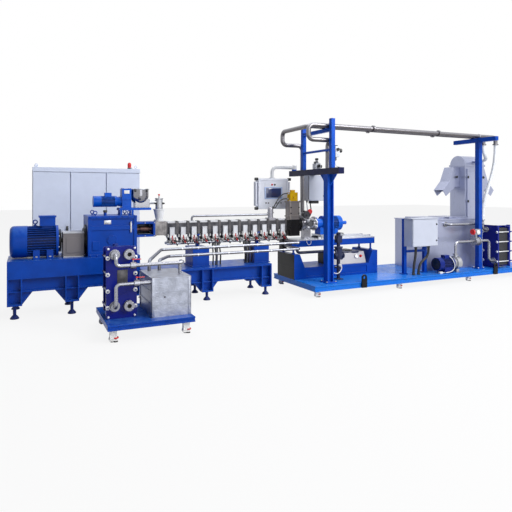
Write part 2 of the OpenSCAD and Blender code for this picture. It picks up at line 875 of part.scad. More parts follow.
module exchanger_packs() {
    color("dimgray") place() {
        on_cart_hx() exchanger_pack(cart_top, cart_pack);
        on_skid_hx() exchanger_pack(skid_top, skid_pack);
    }
}

// Open port flange on the frame plate of the cart exchanger.
module exchanger_ports() {
    flange_r = 60;
    color("silver") place() on_cart_hx() for (z = port_z) difference() {
        union() {
            y_cyl(port_dx, -port_l, cart_top + z, flange_r, 20);
            y_cyl(port_dx, -port_l + 19, cart_top + z, port_r + 12, port_l - 29);
            y_cyl(port_dx, -12, cart_top + z, flange_r, 12);
        }
        y_cyl(port_dx, -port_l - 1, cart_top + z, port_r, port_l - 9);
    }
}

module insulated_tank() {
    band = 6;
    color("gainsboro") place() {
        translate([tank_x, tank_y, cart_top]) cube([tank_w, tank_d, tank_h - 16]);
        translate([tank_x - band, tank_y - band, cart_top + tank_h - 16])
            cube([tank_w + 2 * band, tank_d + 2 * band, 16]);
        for (f = [0.3, 0.62])
            translate([tank_x - band, tank_y - band, cart_top + f * tank_h])
                cube([tank_w + 2 * band, tank_d + 2 * band, 14]);
    }
}

module cart_piping() {
    px = cart_hx[0] - port_dx;
    fy = cart_hx[1];
    z1 = cart_top + port_z[1];
    z0 = cart_top + port_z[0];
    high = z1 - 120;
    low = cart_top + 410;
    end_x = tank_x + tank_w - 70;
    color("white") place() {
        pipe([
            [px, fy, z1], [px, cart_pipe_y, z1], [px, cart_pipe_y, high], [end_x, cart_pipe_y, high],
            [end_x, tank_y + 200, high], [end_x, tank_y + 200, cart_top + tank_h]
        ], cart_pipe_d, 48);
        pipe([
            [px, fy, z0], [px, cart_pipe_y, z0], [px, cart_pipe_y, low], [tank_x, cart_pipe_y, low]
        ], cart_pipe_d, 48);
        for (z = [z0, z1]) {
            collar([px, fy - 8, z], [0, 1, 0], 120, 16);
            collar([px, fy - 48, z], [0, 1, 0], 96, 20);
        }
        collar([px + 190, cart_pipe_y, high], [1, 0, 0], 76, 60);
        collar([px + 230, cart_pipe_y, low], [1, 0, 0], 76, 60);
        translate([px + 190, cart_pipe_y, high]) cylinder(h = 66, r = 9);
        translate([px + 230, cart_pipe_y, low]) cylinder(h = 66, r = 9);
    }
}

module skid_platform() {
    lip = 14;
    color("royalblue") place() difference() {
        translate([skid_x, skid_y, skid_castor_h]) cube([skid_l, skid_w, skid_t]);
        for (s = [0, 1])
            translate([skid_x - 1, s == 0 ? skid_y - 1 : skid_y + skid_w - lip, skid_castor_h + 18])
                cube([skid_l + 2, lip + 1, skid_t - 36]);
    }
}

module lifting_lugs() {
    hole_r = 24;
    color("black") place() for (s = [0, 1]) for (dx = lug_x[s])
        translate([skid_x + dx, s == 0 ? skid_y - lug_t : skid_y + skid_w, skid_castor_h])
            difference() {
                union() {
                    translate([-lug_w / 2, 0, 0]) cube([lug_w, lug_t, lug_rise]);
                    y_cyl(0, 0, lug_rise, lug_w / 2, lug_t);
                }
                y_cyl(0, -1, lug_rise, hole_r, lug_t + 2);
            }
}

module pelletizer_bed() {
    color("royalblue") place() difference() {
        translate([skid_x, -bed_w / 2, skid_top]) cube([bed_l, bed_w, bed_h]);
        for (s = [0, 1]) mirror([0, s, 0])
            translate([skid_x + 240, -bed_w / 2 - 1, skid_top + 40]) cube([bed_l - 480, 13, bed_h - 80]);
    }
}

// Raised end of the bed with a slanted inner side.
module horn() {
    rotate([90, 0, 0]) linear_extrude(bed_w)
        polygon([[0, 0], [205, 0], [112, horn_h], [0, horn_h]]);
}

module bed_ends() {
    color("royalblue") place() {
        translate([skid_x, bed_w / 2, bed_top]) horn();
        translate([skid_x + bed_l, bed_w / 2, bed_top]) mirror([1, 0, 0]) horn();
    }
}

module rail_table() {
    side_t = 20;
    jack_y = table_w / 2 - 50;
    color("royalblue") place() {
        translate([skid_x, -table_w / 2, table_h - side_t]) cube([bed_l, table_w, side_t]);
        for (s = [0, 1]) mirror([0, s, 0]) {
            translate([skid_x, -table_w / 2, table_h - table_t]) cube([bed_l, side_t, table_t]);
            translate([head_x + head_l + 10, slide_y - rail_s / 2, table_h])
                cube([skid_x + bed_l - head_x - head_l - 30, rail_s, rail_s]);
        }
        for (x = [skid_x, skid_x + bed_l - side_t])
            translate([x, -table_w / 2, table_h - table_t]) cube([side_t, table_w, table_t]);
        for (x = [skid_x + 56, skid_x + bed_l - 56], y = [-jack_y, jack_y]) {
            translate([x, y, horn_top]) cylinder(h = table_h - horn_top - 2, r = 17);
            translate([x, y, horn_top]) cylinder(h = 18, r = 32, $fn = 6);
        }
    }
}

module cutter_head() {
    foot_x = head_x + 70;
    color("silver") place() {
        x_cyl(head_x, 0, axis_h, head_r, head_l);
        for (x = [head_x, head_x + head_l - 24]) x_cyl(x, 0, axis_h, head_r + 20, 24);
        translate([foot_x, -60, table_h]) cube([130, 120, axis_h - head_r + 30 - table_h]);
        y_cyl(riser_x, 0, outlet_z, rack_d / 2, outlet_l);
        y_cyl(riser_x, outlet_l - 18, outlet_z, rack_d / 2 + 22, 18);
        y_cyl(head_x + 140, -head_r - 34, axis_h + 20, 58, 60);
        y_cyl(head_x + 140, -head_r - 46, axis_h + 20, 68, 14);
        translate([head_x + 90, 0, axis_h + head_r - 20]) cylinder(h = 120, r = 22);
        translate([head_x + 90, 0, axis_h + head_r + 70]) cylinder(h = 34, r = 34);
    }
}

drive_x = head_x + head_l + run_gap;

module cutter_carriage() {
    block_t = 26;
    color("silver") place() {
        translate([drive_x + 40, -slide_y - 40, plate_z]) cube([500, 2 * slide_y + 80, 26]);
        for (x = [drive_x + 60, drive_x + 400], s = [-1, 1])
            difference() {
                translate([x, s * slide_y - 38, plate_z - block_t]) cube([110, 76, block_t + 1]);
                translate([x - 1, s * slide_y - rail_s / 2 - run_gap, plate_z - block_t - 1])
                    cube([112, rail_s + 2 * run_gap, block_t + 1 - 8 + run_gap]);
            }
    }
}

module cutter_drive() {
    motor_x0 = drive_x + 150;
    color("royalblue") place() {
        x_cyl(drive_x, 0, axis_h, 118, 22);
        x_cyl(drive_x + 20, 0, axis_h, 84, 132);
        x_cyl(motor_x0, 0, axis_h, cutter_r, 34);
        fin_body([motor_x0 + 30, 0, axis_h], 260, cutter_r, 28, 18);
        x_cyl(motor_x0 + 290, 0, axis_h, cutter_r, 90);
        x_cyl(motor_x0 + 380, 0, axis_h, 32, 150);
        for (x = [drive_x + 70, motor_x0 + 220])
            translate([x, -90, plate_z + 26]) cube([80, 180, axis_h - 70 - plate_z - 26]);
    }
}

module instrument_box() {
    box_l = 800;
    x0 = skid_x + bed_l - 100 - box_l - 110;
    color("silver") place() {
        translate([x0, 130, bed_top]) rotate([90, 0, 90]) linear_extrude(box_l)
            polygon([[0, 0], [-370, 0], [-300, 200], [0, 200]]);
        translate([x0 + 120, -120, bed_top + 200]) cube([460, 200, 34]);
    }
}

module bypass_valves() {
    stem_z = skid_top;
    pipe_y = -table_w / 2 + 90;
    pipe_z = horn_top + 8;
    x1 = skid_x + 150;
    color("dimgray") place() {
        translate([valve_x - 60, valve_y - 60, stem_z]) cube([120, 120, 14]);
        translate([valve_x, valve_y, stem_z]) cylinder(h = 640, r = 30);
        translate([valve_x, valve_y, stem_z + 190]) cylinder(h = 22, r = 66);
        translate([valve_x, valve_y, stem_z + 360]) cylinder(h = 170, r = 62);
        translate([valve_x, valve_y, stem_z + 340]) cylinder(h = 22, r = 74);
        translate([valve_x, valve_y, stem_z + 530]) cylinder(h = 22, r = 74);
        translate([valve_x - 46, valve_y - 46, stem_z + 620]) cube([92, 92, 120]);
        translate([valve_x, valve_y, stem_z + 740]) cylinder(h = 40, r = 38);
        pipe([
            [valve_x, valve_y, pipe_z], [valve_x, pipe_y, pipe_z],
            [x1, pipe_y, pipe_z], [x1, pipe_y, table_h - 20]
        ], 50, 60);
        x_cyl(valve_x - inlet_l, valve_y, inlet_z, 60, 20);
    }
}

module front_mast() {
    web = 16;
    color("royalblue") place() {
        translate([mast_x, mast_y, skid_top]) {
            for (s = [-1, 1])
                translate([s * (mast_s - web) / 2 - web / 2, -mast_s / 2, 0])
                    cube([web, mast_s, beam_z - skid_top]);
            translate([-mast_s / 2, -web / 2, 0]) cube([mast_s, web, beam_z - skid_top]);
            translate([-mast_s / 2 - 40, -mast_s / 2 - 40, 0]) cube([mast_s + 80, mast_s + 80, 18]);
        }
        translate([mast_x - beam_s / 2, beam_y[0], beam_z]) cube([beam_s, beam_y[1] - beam_y[0], beam_s]);
        for (s = [0, 1]) translate([mast_x + 8, mast_y, beam_z]) mirror([0, s, 0]) rotate([90, 0, -90])
            linear_extrude(16) polygon([[mast_s / 2 - 2, 1], [mast_s / 2 + 180, 1], [mast_s / 2 - 2, -180]]);
        for (y = upper_y)
            translate([mast_x - upper_s / 2, y - upper_s / 2, beam_top - 1])
                cube([upper_s, upper_s, rack_z + 110 - beam_top]);
        translate([mast_x - 30, upper_y[0], rack_z - rack_d / 2 - 60])
            cube([60, upper_y[1] - upper_y[0], 60]);
        bar([mast_x, upper_y[0], beam_top + 300], [mast_x, upper_y[1], beam_top + 300], 42);
        translate([mast_x, pivot_y, beam_top - 1]) cylinder(h = 25, r = 45);
        translate([mast_x, pivot_y, beam_top]) cylinder(h = 96, r = pivot_r);
    }
}

module rear_mast() {
    top = rack_z - rack_d / 2;
    color("royalblue") place() {
        translate([rear_x - rear_s / 2, rear_y - rear_s / 2, skid_top])
            cube([rear_s, rear_s, top - rear_beam - skid_top + 1]);
        translate([rear_x - rear_s / 2 - 40, rear_y - rear_s / 2 - 25, skid_top])
            cube([rear_s + 80, rear_s + 50, 18]);
        translate([rear_x - rear_beam / 2, rear_beam_y[0], top - rear_beam])
            cube([rear_beam, rear_beam_y[1] - rear_beam_y[0], rear_beam]);
    }
}

module overhead_pipes() {
    color("silver") place() {
        pipe([
            [rack_end[0], rack_y[0], rack_z - rack_drop], [rack_end[0], rack_y[0], rack_z],
            [loop_x[0], rack_y[0], rack_z], [loop_x[0], rack_y[0], loop_z],
            [water_riser_x, rack_y[0], loop_z], [water_riser_x, valve_y, loop_z],
            [water_riser_x, valve_y, inlet_z],
            [valve_x - inlet_l, valve_y, inlet_z]
        ], rack_d, rack_r);
        pipe([
            [rack_end[1], rack_y[1], rack_z - rack_drop], [rack_end[1], rack_y[1], rack_z],
            [loop_x[1], rack_y[1], rack_z], [loop_x[1], slurry_y, rack_z],
            [loop_x[1], slurry_y, loop_z], [riser_x, slurry_y, loop_z],
            [riser_x, slurry_y, outlet_z], [riser_x, outlet_l, outlet_z]
        ], rack_d, rack_r);
        for (i = [0, 1]) {
            collar([rack_end[i], rack_y[i], rack_z - rack_drop + 9], [0, 0, 1], rack_d + 34, 18);
            for (x = joint_x) collar([x, rack_y[i], rack_z], [1, 0, 0], rack_d + 40, 30);
        }
    }
}

module air_units() {
    color("whitesmoke") place() {
        translate([mast_x + upper_s / 2, upper_y[0] - 28, beam_top + 190]) {
            cube([46, 56, 150]);
            x_cyl(40, 28, 95, 21, 60);
            translate([23, 28, -50]) cylinder(h = 52, r = 20);
        }
        translate([mast_x - 30, -410, beam_top]) {
            cube([60, 84, 110]);
            translate([30, 42, 108]) cylinder(h = 44, r = 20);
        }
    }
}

module control_boxes() {
    color("lightgrey") place() {
        translate([junction_x, -230, beam_z - 440]) {
            cube([325, 150, 440]);
            translate([-8, -10, 4]) cube([341, 12, 428]);
        }
        translate([box_x, box_y, box_z]) {
            translate([0, 14, 0]) cube([box_w, box_d - 14, box_h]);
            translate([8, 0, 8]) cube([box_w - 16, 15, box_h - 16]);
            translate([-10, -4, box_h]) cube([box_w + 20, box_d, 14]);
        }
    }
}

module box_stand() {
    post = 60;
    color("royalblue") place() {
        for (x = [box_x, box_x + box_w - 110]) {
            translate([x, box_y + box_d, skid_top]) cube([post, post, box_z + box_h - skid_top]);
            translate([x - 30, box_y + box_d, skid_top]) cube([post + 60, post + 30, 14]);
        }
        translate([box_x, box_y + box_d, box_z - 120]) cube([box_w - 60, post, 40]);
    }
}

module water_tank() {
    color("gainsboro") place() difference() {
        translate([water_x, water_y, skid_top]) cube([water_l, water_w, water_h]);
        translate([water_x + water_wall, water_y + water_wall, skid_top + water_wall])
            cube([water_l - 2 * water_wall, water_w - 2 * water_wall, water_h]);
    }
}

module tank_lid() {
    over = 14;
    z0 = skid_top + water_h;
    color("gainsboro") place() {
        translate([water_x - over, water_y - over, z0]) cube([water_l + 2 * over, water_w + 2 * over, 16]);
        translate([water_x + 90, water_y + 120, z0 + 15]) cube([480, 560, 34]);
        translate([water_x + 700, water_y + 120, z0 + 15]) cube([480, 560, 34]);
    }
}

module dryer() {
    door_w = dryer_w - 90;
    arch = dryer_d / 2;
    color("gainsboro") place() {
        translate([dryer_x, dryer_y, skid_top]) cube([dryer_w, dryer_d, dryer_h]);
        x_cyl(dryer_x, dryer_y + arch, skid_top + dryer_h, arch, dryer_w);
        translate([dryer_x + 45, dryer_y - 26, skid_top + 620]) difference() {
            cube([door_w, 27, dryer_h - 700]);
            translate([46, -1, 46]) cube([door_w - 92, 14, dryer_h - 792]);
        }
        translate([dryer_x - 16, dryer_y - 14, skid_top + dryer_h - 30])
            cube([dryer_w + 32, dryer_d + 28, 40]);
        translate([dryer_x - 20, dryer_y - 20, skid_top]) cube([dryer_w + 40, dryer_d + 40, 24]);
        y_cyl(nozzle_x, dryer_y - nozzle_l + 14, nozzle_z, hose_d / 2 + 4, 160);
        y_cyl(nozzle_x, dryer_y - nozzle_l, nozzle_z, hose_d / 2 + 20, 16);
    }
}

// Side hood with a slanted open spout, seen from the front.
module chute() {
    wall = 14;
    translate([0, 0, chute_top]) difference() {
        rotate([90, 0, 0]) linear_extrude(chute_d) union() {
            polygon([[0, -414], [0, 0], [-170, 0], [-300, -310], [-300, -414]]);
            polygon([[-120, -413], [-299, -300], [-470, -480], [-380, -600]]);
        }
        translate([0, -wall, 0]) rotate([90, 0, 0]) linear_extrude(chute_d - 2 * wall)
            polygon([[-178, -438], [-296, -324], [-485, -496], [-380, -628]]);
    }
}

module dryer_chutes() {
    color("gainsboro") place() {
        translate([dryer_x, dryer_y + dryer_d, 0]) chute();
        translate([dryer_x + dryer_w, dryer_y + dryer_d, 0]) mirror([1, 0, 0]) chute();
    }
}

module water_pump() {
    r = 115;
    head = pump_x + 440;
    color("royalblue") place() {
        x_cyl(pump_x, pump_y, pump_z, r, 110);
        fin_body([pump_x + 110, pump_y, pump_z], 240, r, 24, 16);
        x_cyl(pump_x + 350, pump_y, pump_z, r - 20, 92);
        x_cyl(head, pump_y, pump_z, 124, 96);
        x_cyl(head + 90, pump_y, pump_z, 50, 80);
        translate([pump_x + 130, pump_y - 90, skid_top]) cube([200, 180, pump_z - skid_top - 60]);
        translate([head + 10, pump_y - 60, skid_top]) cube([70, 120, pump_z - skid_top - 90]);
        translate([head + 48, pump_y, pump_z + 100]) cylinder(h = 50, r = 36);
        translate([pump_x + 170, pump_y - 50, pump_z + r - 30]) cube([110, 100, 72]);
    }
}

module pump_piping() {
    out_x = pump_x + 488;
    run_z = 735;
    meter_x = 7930;
    hx = skid_hx[0];
    low = skid_top + port_z[0];
    high = skid_top + port_z[1];
    tank_z = 1050;
    color("white") place() {
        pipe([
            [out_x, pump_y, pump_z + 150], [out_x, pump_y, run_z], [hx - 130, pump_y, run_z],
            [hx - 130, pump_y, low], [hx, pump_y, low]
        ], pump_d, 70);
        x_cyl(meter_x, pump_y, run_z, 72, 100);
        for (x = [meter_x - 14, meter_x + 96]) x_cyl(x, pump_y, run_z, 84, 18);
        translate([meter_x + 50, pump_y, run_z]) cylinder(h = 130, r = 24);
        translate([meter_x - 20, pump_y - 50, run_z + 120]) cube([140, 100, 110]);
        collar([out_x, pump_y, pump_z + 159], [0, 0, 1], pump_d + 50, 18);
        pipe([
            [hx, return_y, high], [return_x, return_y, high], [return_x, return_y, return_top]
        ], pump_d, 70);
        pipe([
            [water_x + 460, water_y, tank_z], [water_x + 460, return_y, tank_z], [return_x, return_y, tank_z]
        ], pump_d, 70);
        collar([water_x + 460, water_y - 10, tank_z], [0, 1, 0], pump_d + 50, 20);
        collar([return_x, return_y, return_top - 9], [0, 0, 1], hose_d + 20, 18);
        for (z = [low, high]) collar([hx - 10, z == low ? pump_y : return_y, z], [1, 0, 0], 110, 20);
    }
}

// Points of a smooth curve from a to d, leaving along b and arriving along c.
function curve(a, b, c, d, n) = [
    for (i = [0:n])
        let (t = i / n, u = 1 - t)
            u * u * u * a + 3 * u * u * t * b + 3 * u * t * t * c + t * t * t * d
];

// Points along a route whose inner corners are rounded off with radius r.
function rounded(pts, r, n) =
    let (m = len(pts), dirs = [for (i = [0:m - 2]) unit(pts[i + 1] - pts[i])])
        concat([pts[0]], [
            for (i = [1:m - 2], k = [0:n])
                let (t = trim(dirs[i - 1], dirs[i], r), u = k / n)
                    pts[i] - (1 - u) * (1 - u) * t * dirs[i - 1] + u * u * t * dirs[i]
        ], [pts[m - 1]]);

// Round hose or pipe swept along a list of points.
module hose(pts, d, sides, side_dir) {
    n = len(pts);
    dirs = [for (i = [0:n - 1]) unit(pts[min(n - 1, i + 1)] - pts[max(0, i - 1)])];
    rings = [
        for (i = [0:n - 1])
            let (a = unit(cross(dirs[i], side_dir)), b = cross(dirs[i], a))
                for (k = [0:sides - 1])
                    pts[i] + d / 2 * (cos(k * 360 / sides) * a + sin(k * 360 / sides) * b)
    ];
    walls = [
        for (i = [0:n - 2], k = [0:sides - 1])
            let (p = i * sides + k, q = i * sides + (k + 1) % sides)
                for (f = [[p, q, p + sides], [q, q + sides, p + sides]]) f
    ];
    first = [for (k = [0:sides - 1]) sides - 1 - k];
    last = [for (k = [0:sides - 1]) (n - 1) * sides + k];
    polyhedron(points = rings, faces = concat([first], walls, [last]));
}

module hoses() {
    top = rack_z - rack_drop;
    up = [0, 0, 30];
    in = [0, 30, 0];
    a = [rack_end[0], rack_y[0], top];
    d = [return_x, return_y, return_top];
    e = [rack_end[1], rack_y[1], top];
    f = [nozzle_x, dryer_y - nozzle_l, nozzle_z];
    color("white") place() {
        hose(
            concat([a], curve(a - up, a - [0, 0, 700], d + [0, 0, 600], d + up, 26), [d]),
            hose_d, 12, [0, 1, 0]
        );
        hose(
            concat([e], curve(e - up, e - [0, 0, 260], f - [0, 330, 0], f - in, 14), [f]),
            hose_d, 12, [1, 0, 0]
        );
    }
}

// Cabinet shell with its plinth, door posts, top band and hinge pins.
module cabinet_body() {
    front = cab_y + 34;
    band_z = door_z + door_h + 6;
    color("lavender") place() {
        translate([cab_x, front, 0]) cube([cab_w, cab_d - 34, plinth_h]);
        difference() {
            translate([cab_x, front, plinth_h - 1]) cube([cab_w, cab_d - 34, cab_h - plinth_h + 1]);
            for (i = [0:cab_doors - 1])
                translate([cab_x + i * door_bay + 26, front - 1, plinth_h + cab_wall])
                    cube([door_bay - 52, 40, cab_h - plinth_h - 2 * cab_wall - 40]);
            translate([cab_x + cab_wall, front + 38, plinth_h + cab_wall])
                cube([cab_w - 2 * cab_wall, cab_d - 34 - 38 - cab_wall, cab_h - plinth_h - 2 * cab_wall]);
        }
        translate([cab_x, cab_y - 8, band_z]) cube([cab_w, 44, cab_h - band_z]);
        translate([cab_x, cab_y - 8, 0]) cube([cab_w, 44, plinth_h]);
        for (i = [0:cab_doors - 1])
            translate([cab_x + i * door_bay + door_gap / 2 + hinge_in, cab_y + hinge_in, 0]) {
                translate([0, 0, plinth_h - 1]) cylinder(h = 31, r = hinge_r);
                translate([0, 0, band_z - 30]) cylinder(h = 31, r = hinge_r);
            }
        for (x = [cab_x + 60, cab_x + cab_w - 60], y = [cab_y + 100, cab_y + cab_d - 60])
            eye([x, y, cab_h], 22);
        translate([cab_x + cab_w - 170, cab_y + 120, cab_h]) {
            cylinder(h = 24, r = 36);
            translate([0, 0, 24]) cylinder(h = 66, r = 32);
            translate([0, 0, 90]) sphere(32);
        }
    }
}

// Cabinet door hung on two pivot pins at its left edge.
module cabinet_door(i) {
    x0 = cab_x + i * door_bay + door_gap / 2;
    w = door_bay - door_gap;
    color("lavender") place() translate([x0, cab_y, door_z]) {
        difference() {
            cube([w, door_t, door_h]);
            for (z = [-1, door_h - 29])
                translate([hinge_in, hinge_in, z]) cylinder(h = 30, r = hinge_r + pin_play);
        }
        translate([w - 62, -16, 800]) cube([34, 17, 170]);
        translate([w - 55, -30, 830]) cube([20, 15, 120]);
    }
}

module cabinet_door_left() {
    cabinet_door(0);
}

module cabinet_door_middle() {
    cabinet_door(1);
}

module cabinet_door_right() {
    cabinet_door(2);
}

module panel_arm() {
    hub_z = beam_top + 24 + run_gap;
    color("silver") place() difference() {
        union() {
            translate([mast_x, pivot_y, hub_z]) cylinder(h = 74, r = 42);
            pipe([
                [mast_x - 20, pivot_y, arm_z], [panel_x, pivot_y, arm_z], [panel_x, pivot_y, panel_top]
            ], arm_d, 90);
            translate([panel_x, pivot_y, panel_top]) cylinder(h = 16, r = 50);
        }
        translate([mast_x, pivot_y, hub_z - 1]) cylinder(h = 90, r = pivot_r + pin_play);
    }
}

module operator_panel() {
    grip = 24;
    half = panel_w / 2;
    color("lightsteelblue") place() translate([panel_x, pivot_y, panel_top - panel_h]) {
        difference() {
            translate([-half, -panel_d / 2, 0]) cube([panel_w, panel_d, panel_h]);
            translate([-half + 36, -panel_d / 2 - 1, 40]) cube([panel_w - 72, 9, panel_h - 80]);
        }
        translate([-170, -panel_d / 2 + 2, 250]) cube([340, 8, 210]);
        for (s = [0, 1]) mirror([s, 0, 0]) {
            translate([-half - 46, -panel_d / 2 + 20, 60]) cube([grip, panel_d - 40, panel_h - 120]);
            for (z = [60, panel_h - 60 - grip])
                translate([-half - 46, -panel_d / 2 + 20, z]) cube([48, panel_d - 40, grip]);
        }
    }
}

drive_base();
barrel_frame();
levelling_feet();
main_motor();
motor_fan_cover();
coupling_guard();
gearbox();
lantern();
feed_barrel();
barrel_train();
barrel_heaters();
barrel_covers();
barrel_pedestals();
cooling_manifolds();
cooling_valves();
feeder_frame();
feeder_drive();
feeder_hopper();
feed_chute();
vacuum_vent();
vacuum_line();
diverter_valve();
valve_actuator();
process_pipes();
cart_platform();
castors();
exchanger_frames();
exchanger_packs();
exchanger_ports();
insulated_tank();
cart_piping();
skid_platform();
lifting_lugs();
pelletizer_bed();
bed_ends();
rail_table();
cutter_head();
cutter_carriage();
cutter_drive();
instrument_box();
bypass_valves();
front_mast();
rear_mast();
overhead_pipes();
air_units();
control_boxes();
box_stand();
water_tank();
tank_lid();
dryer();
dryer_chutes();
water_pump();
pump_piping();
hoses();
cabinet_body();
cabinet_door_left();
cabinet_door_middle();
cabinet_door_right();
panel_arm();
operator_panel();
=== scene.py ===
import math
import bpy
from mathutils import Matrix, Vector


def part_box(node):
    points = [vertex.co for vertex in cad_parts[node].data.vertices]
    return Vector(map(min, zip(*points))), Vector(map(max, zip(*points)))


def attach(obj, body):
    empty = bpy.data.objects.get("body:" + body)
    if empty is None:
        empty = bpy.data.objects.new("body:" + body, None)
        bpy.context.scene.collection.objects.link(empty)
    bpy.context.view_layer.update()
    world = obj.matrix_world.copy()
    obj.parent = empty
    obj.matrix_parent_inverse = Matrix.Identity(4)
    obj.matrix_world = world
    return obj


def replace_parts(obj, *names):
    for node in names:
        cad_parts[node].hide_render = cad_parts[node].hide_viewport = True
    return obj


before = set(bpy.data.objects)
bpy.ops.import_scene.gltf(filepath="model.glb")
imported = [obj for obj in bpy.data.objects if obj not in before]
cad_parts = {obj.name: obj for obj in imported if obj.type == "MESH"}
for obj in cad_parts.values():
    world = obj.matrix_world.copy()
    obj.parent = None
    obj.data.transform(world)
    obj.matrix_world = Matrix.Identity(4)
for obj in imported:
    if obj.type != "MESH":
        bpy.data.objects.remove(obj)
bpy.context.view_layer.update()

# Places on the line are given in millimetres from the left end of the drive base
# and from the screw axis, as the machine is set out on the floor.
LINE_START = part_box("drive_base")[0].x
TRAIN_LOW, TRAIN_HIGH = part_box("barrel_train")
SCREW_Y = (TRAIN_LOW.y + TRAIN_HIGH.y) / 2


def at(x, y, z):
    return Vector((LINE_START + x / 1000, SCREW_Y + y / 1000, z / 1000))


def mm(value):
    return value / 1000


def along(x):
    """Place along the line as a material reads it."""
    return at(x, 0, 0).x


FRONT = Vector((0, -1, 0))
BACK = Vector((0, 1, 0))
LEFT = Vector((-1, 0, 0))
RIGHT = Vector((1, 0, 0))
UP = Vector((0, 0, 1))
DOWN = Vector((0, 0, -1))


# Shared surface effects

def effect_group(name, inputs, outputs):
    group = bpy.data.node_groups.new(name, "ShaderNodeTree")
    for label, kind, start in inputs:
        socket = group.interface.new_socket(name=label, in_out="INPUT", socket_type=kind)
        socket.default_value = start
    for label, kind in outputs:
        group.interface.new_socket(name=label, in_out="OUTPUT", socket_type=kind)
    return group, group.nodes.new("NodeGroupInput"), group.nodes.new("NodeGroupOutput")


def noise(tree, vector, scale, detail, roughness):
    texture = tree.nodes.new("ShaderNodeTexNoise")
    texture.inputs["Scale"].default_value = scale
    texture.inputs["Detail"].default_value = detail
    texture.inputs["Roughness"].default_value = roughness
    tree.links.new(vector, texture.inputs["Vector"])
    return texture.outputs["Fac"]


def ranged(tree, value, low, high, out_low=0.0, out_high=1.0):
    span = tree.nodes.new("ShaderNodeMapRange")
    tree.links.new(value, span.inputs["Value"])
    limits = {"From Min": low, "From Max": high, "To Min": out_low, "To Max": out_high}
    for label, number in limits.items():
        span.inputs[label].default_value = number
    return span.outputs["Result"]


def object_place(tree):
    return tree.nodes.new("ShaderNodeTexCoord").outputs["Object"]


def axes_of(tree, vector):
    split = tree.nodes.new("ShaderNodeSeparateXYZ")
    tree.links.new(vector, split.inputs[0])
    return split.outputs


def maths(tree, operation, a, b):
    node = tree.nodes.new("ShaderNodeMath")
    node.operation = operation
    for socket, value in zip(node.inputs, (a, b)):
        if isinstance(value, (int, float)):
            socket.default_value = value
        else:
            tree.links.new(value, socket)
    return node.outputs[0]


def mixed(tree, mask, a, b):
    node = tree.nodes.new("ShaderNodeMix")
    node.data_type = "RGBA"
    tree.links.new(mask, node.inputs["Factor"])
    for socket, value in ((node.inputs["A"], a), (node.inputs["B"], b)):
        if isinstance(value, tuple):
            socket.default_value = value
        else:
            tree.links.new(value, socket)
    return node.outputs["Result"]


def make_wear_group():
    """Edge wear, a patchy top layer on upward faces and cloudy tone of a workshop surface."""
    group, given, made = effect_group(
        "workshop_wear",
        [("Edge", "NodeSocketFloat", 0.004), ("Patch Scale", "NodeSocketFloat", 9.0)],
        [("Wear", "NodeSocketFloat"), ("Top Layer", "NodeSocketFloat"), ("Tone", "NodeSocketFloat"),
         ("Rounded", "NodeSocketVector")])
    place = object_place(group)
    shape = group.nodes.new("ShaderNodeNewGeometry")
    bevel = group.nodes.new("ShaderNodeBevel")
    bevel.samples = 4
    group.links.new(given.outputs["Edge"], bevel.inputs["Radius"])
    dot = group.nodes.new("ShaderNodeVectorMath")
    dot.operation = "DOT_PRODUCT"
    group.links.new(bevel.outputs["Normal"], dot.inputs[0])
    group.links.new(shape.outputs["Normal"], dot.inputs[1])
    edge = ranged(group, dot.outputs["Value"], 0.985, 0.85)
    scuffs = ranged(group, noise(group, place, 38.0, 4.0, 0.7), 0.5, 0.68)
    group.links.new(maths(group, "MULTIPLY", edge, scuffs), made.inputs["Wear"])
    # Patchy layer on upward faces: settled dust, and on the blue paints a painted sky sheen.
    upward = ranged(group, axes_of(group, shape.outputs["Normal"])["Z"], 0.35, 0.95)
    top_layer = ranged(group, noise(group, place, 14.0, 5.0, 0.65), 0.38, 0.72)
    group.links.new(maths(group, "MULTIPLY", upward, top_layer), made.inputs["Top Layer"])
    cloud = group.nodes.new("ShaderNodeTexNoise")
    cloud.inputs["Detail"].default_value = 4.0
    group.links.new(place, cloud.inputs["Vector"])
    group.links.new(given.outputs["Patch Scale"], cloud.inputs["Scale"])
    group.links.new(ranged(group, cloud.outputs["Fac"], 0.3, 0.7), made.inputs["Tone"])
    group.links.new(bevel.outputs["Normal"], made.inputs["Rounded"])
    return group


def make_peel_group():
    """Fine ripple of sprayed paint or cast skin."""
    group, given, made = effect_group(
        "sprayed_skin", [("Scale", "NodeSocketFloat", 260.0)], [("Height", "NodeSocketFloat")])
    place = object_place(group)
    skin = group.nodes.new("ShaderNodeTexNoise")
    skin.inputs["Detail"].default_value = 2.0
    group.links.new(place, skin.inputs["Vector"])
    group.links.new(given.outputs["Scale"], skin.inputs["Scale"])
    group.links.new(skin.outputs["Fac"], made.inputs["Height"])
    return group


def make_brush_group():
    """Fine parallel lines of brushed sheet metal, drawn out along one direction."""
    group, given, made = effect_group(
        "brushed_lines",
        [("Along", "NodeSocketVector", (4.0, 260.0, 260.0))],
        [("Lines", "NodeSocketFloat"), ("Smear", "NodeSocketFloat")])
    place = object_place(group)
    pull = group.nodes.new("ShaderNodeVectorMath")
    pull.operation = "MULTIPLY"
    group.links.new(place, pull.inputs[0])
    group.links.new(given.outputs["Along"], pull.inputs[1])
    group.links.new(noise(group, pull.outputs["Vector"], 1.0, 3.0, 0.6), made.inputs["Lines"])
    smear = ranged(group, noise(group, place, 5.0, 4.0, 0.6), 0.35, 0.7)
    group.links.new(smear, made.inputs["Smear"])
    return group


WEAR = make_wear_group()
PEEL = make_peel_group()
BRUSH = make_brush_group()


# Materials

def srgb(red, green, blue):
    def linear(value):
        value /= 255
        return value / 12.92 if value <= 0.04045 else ((value + 0.055) / 1.055) ** 2.4
    return linear(red), linear(green), linear(blue), 1.0


def darker(colour, share):
    return tuple(share * part for part in colour[:3]) + (1.0,)


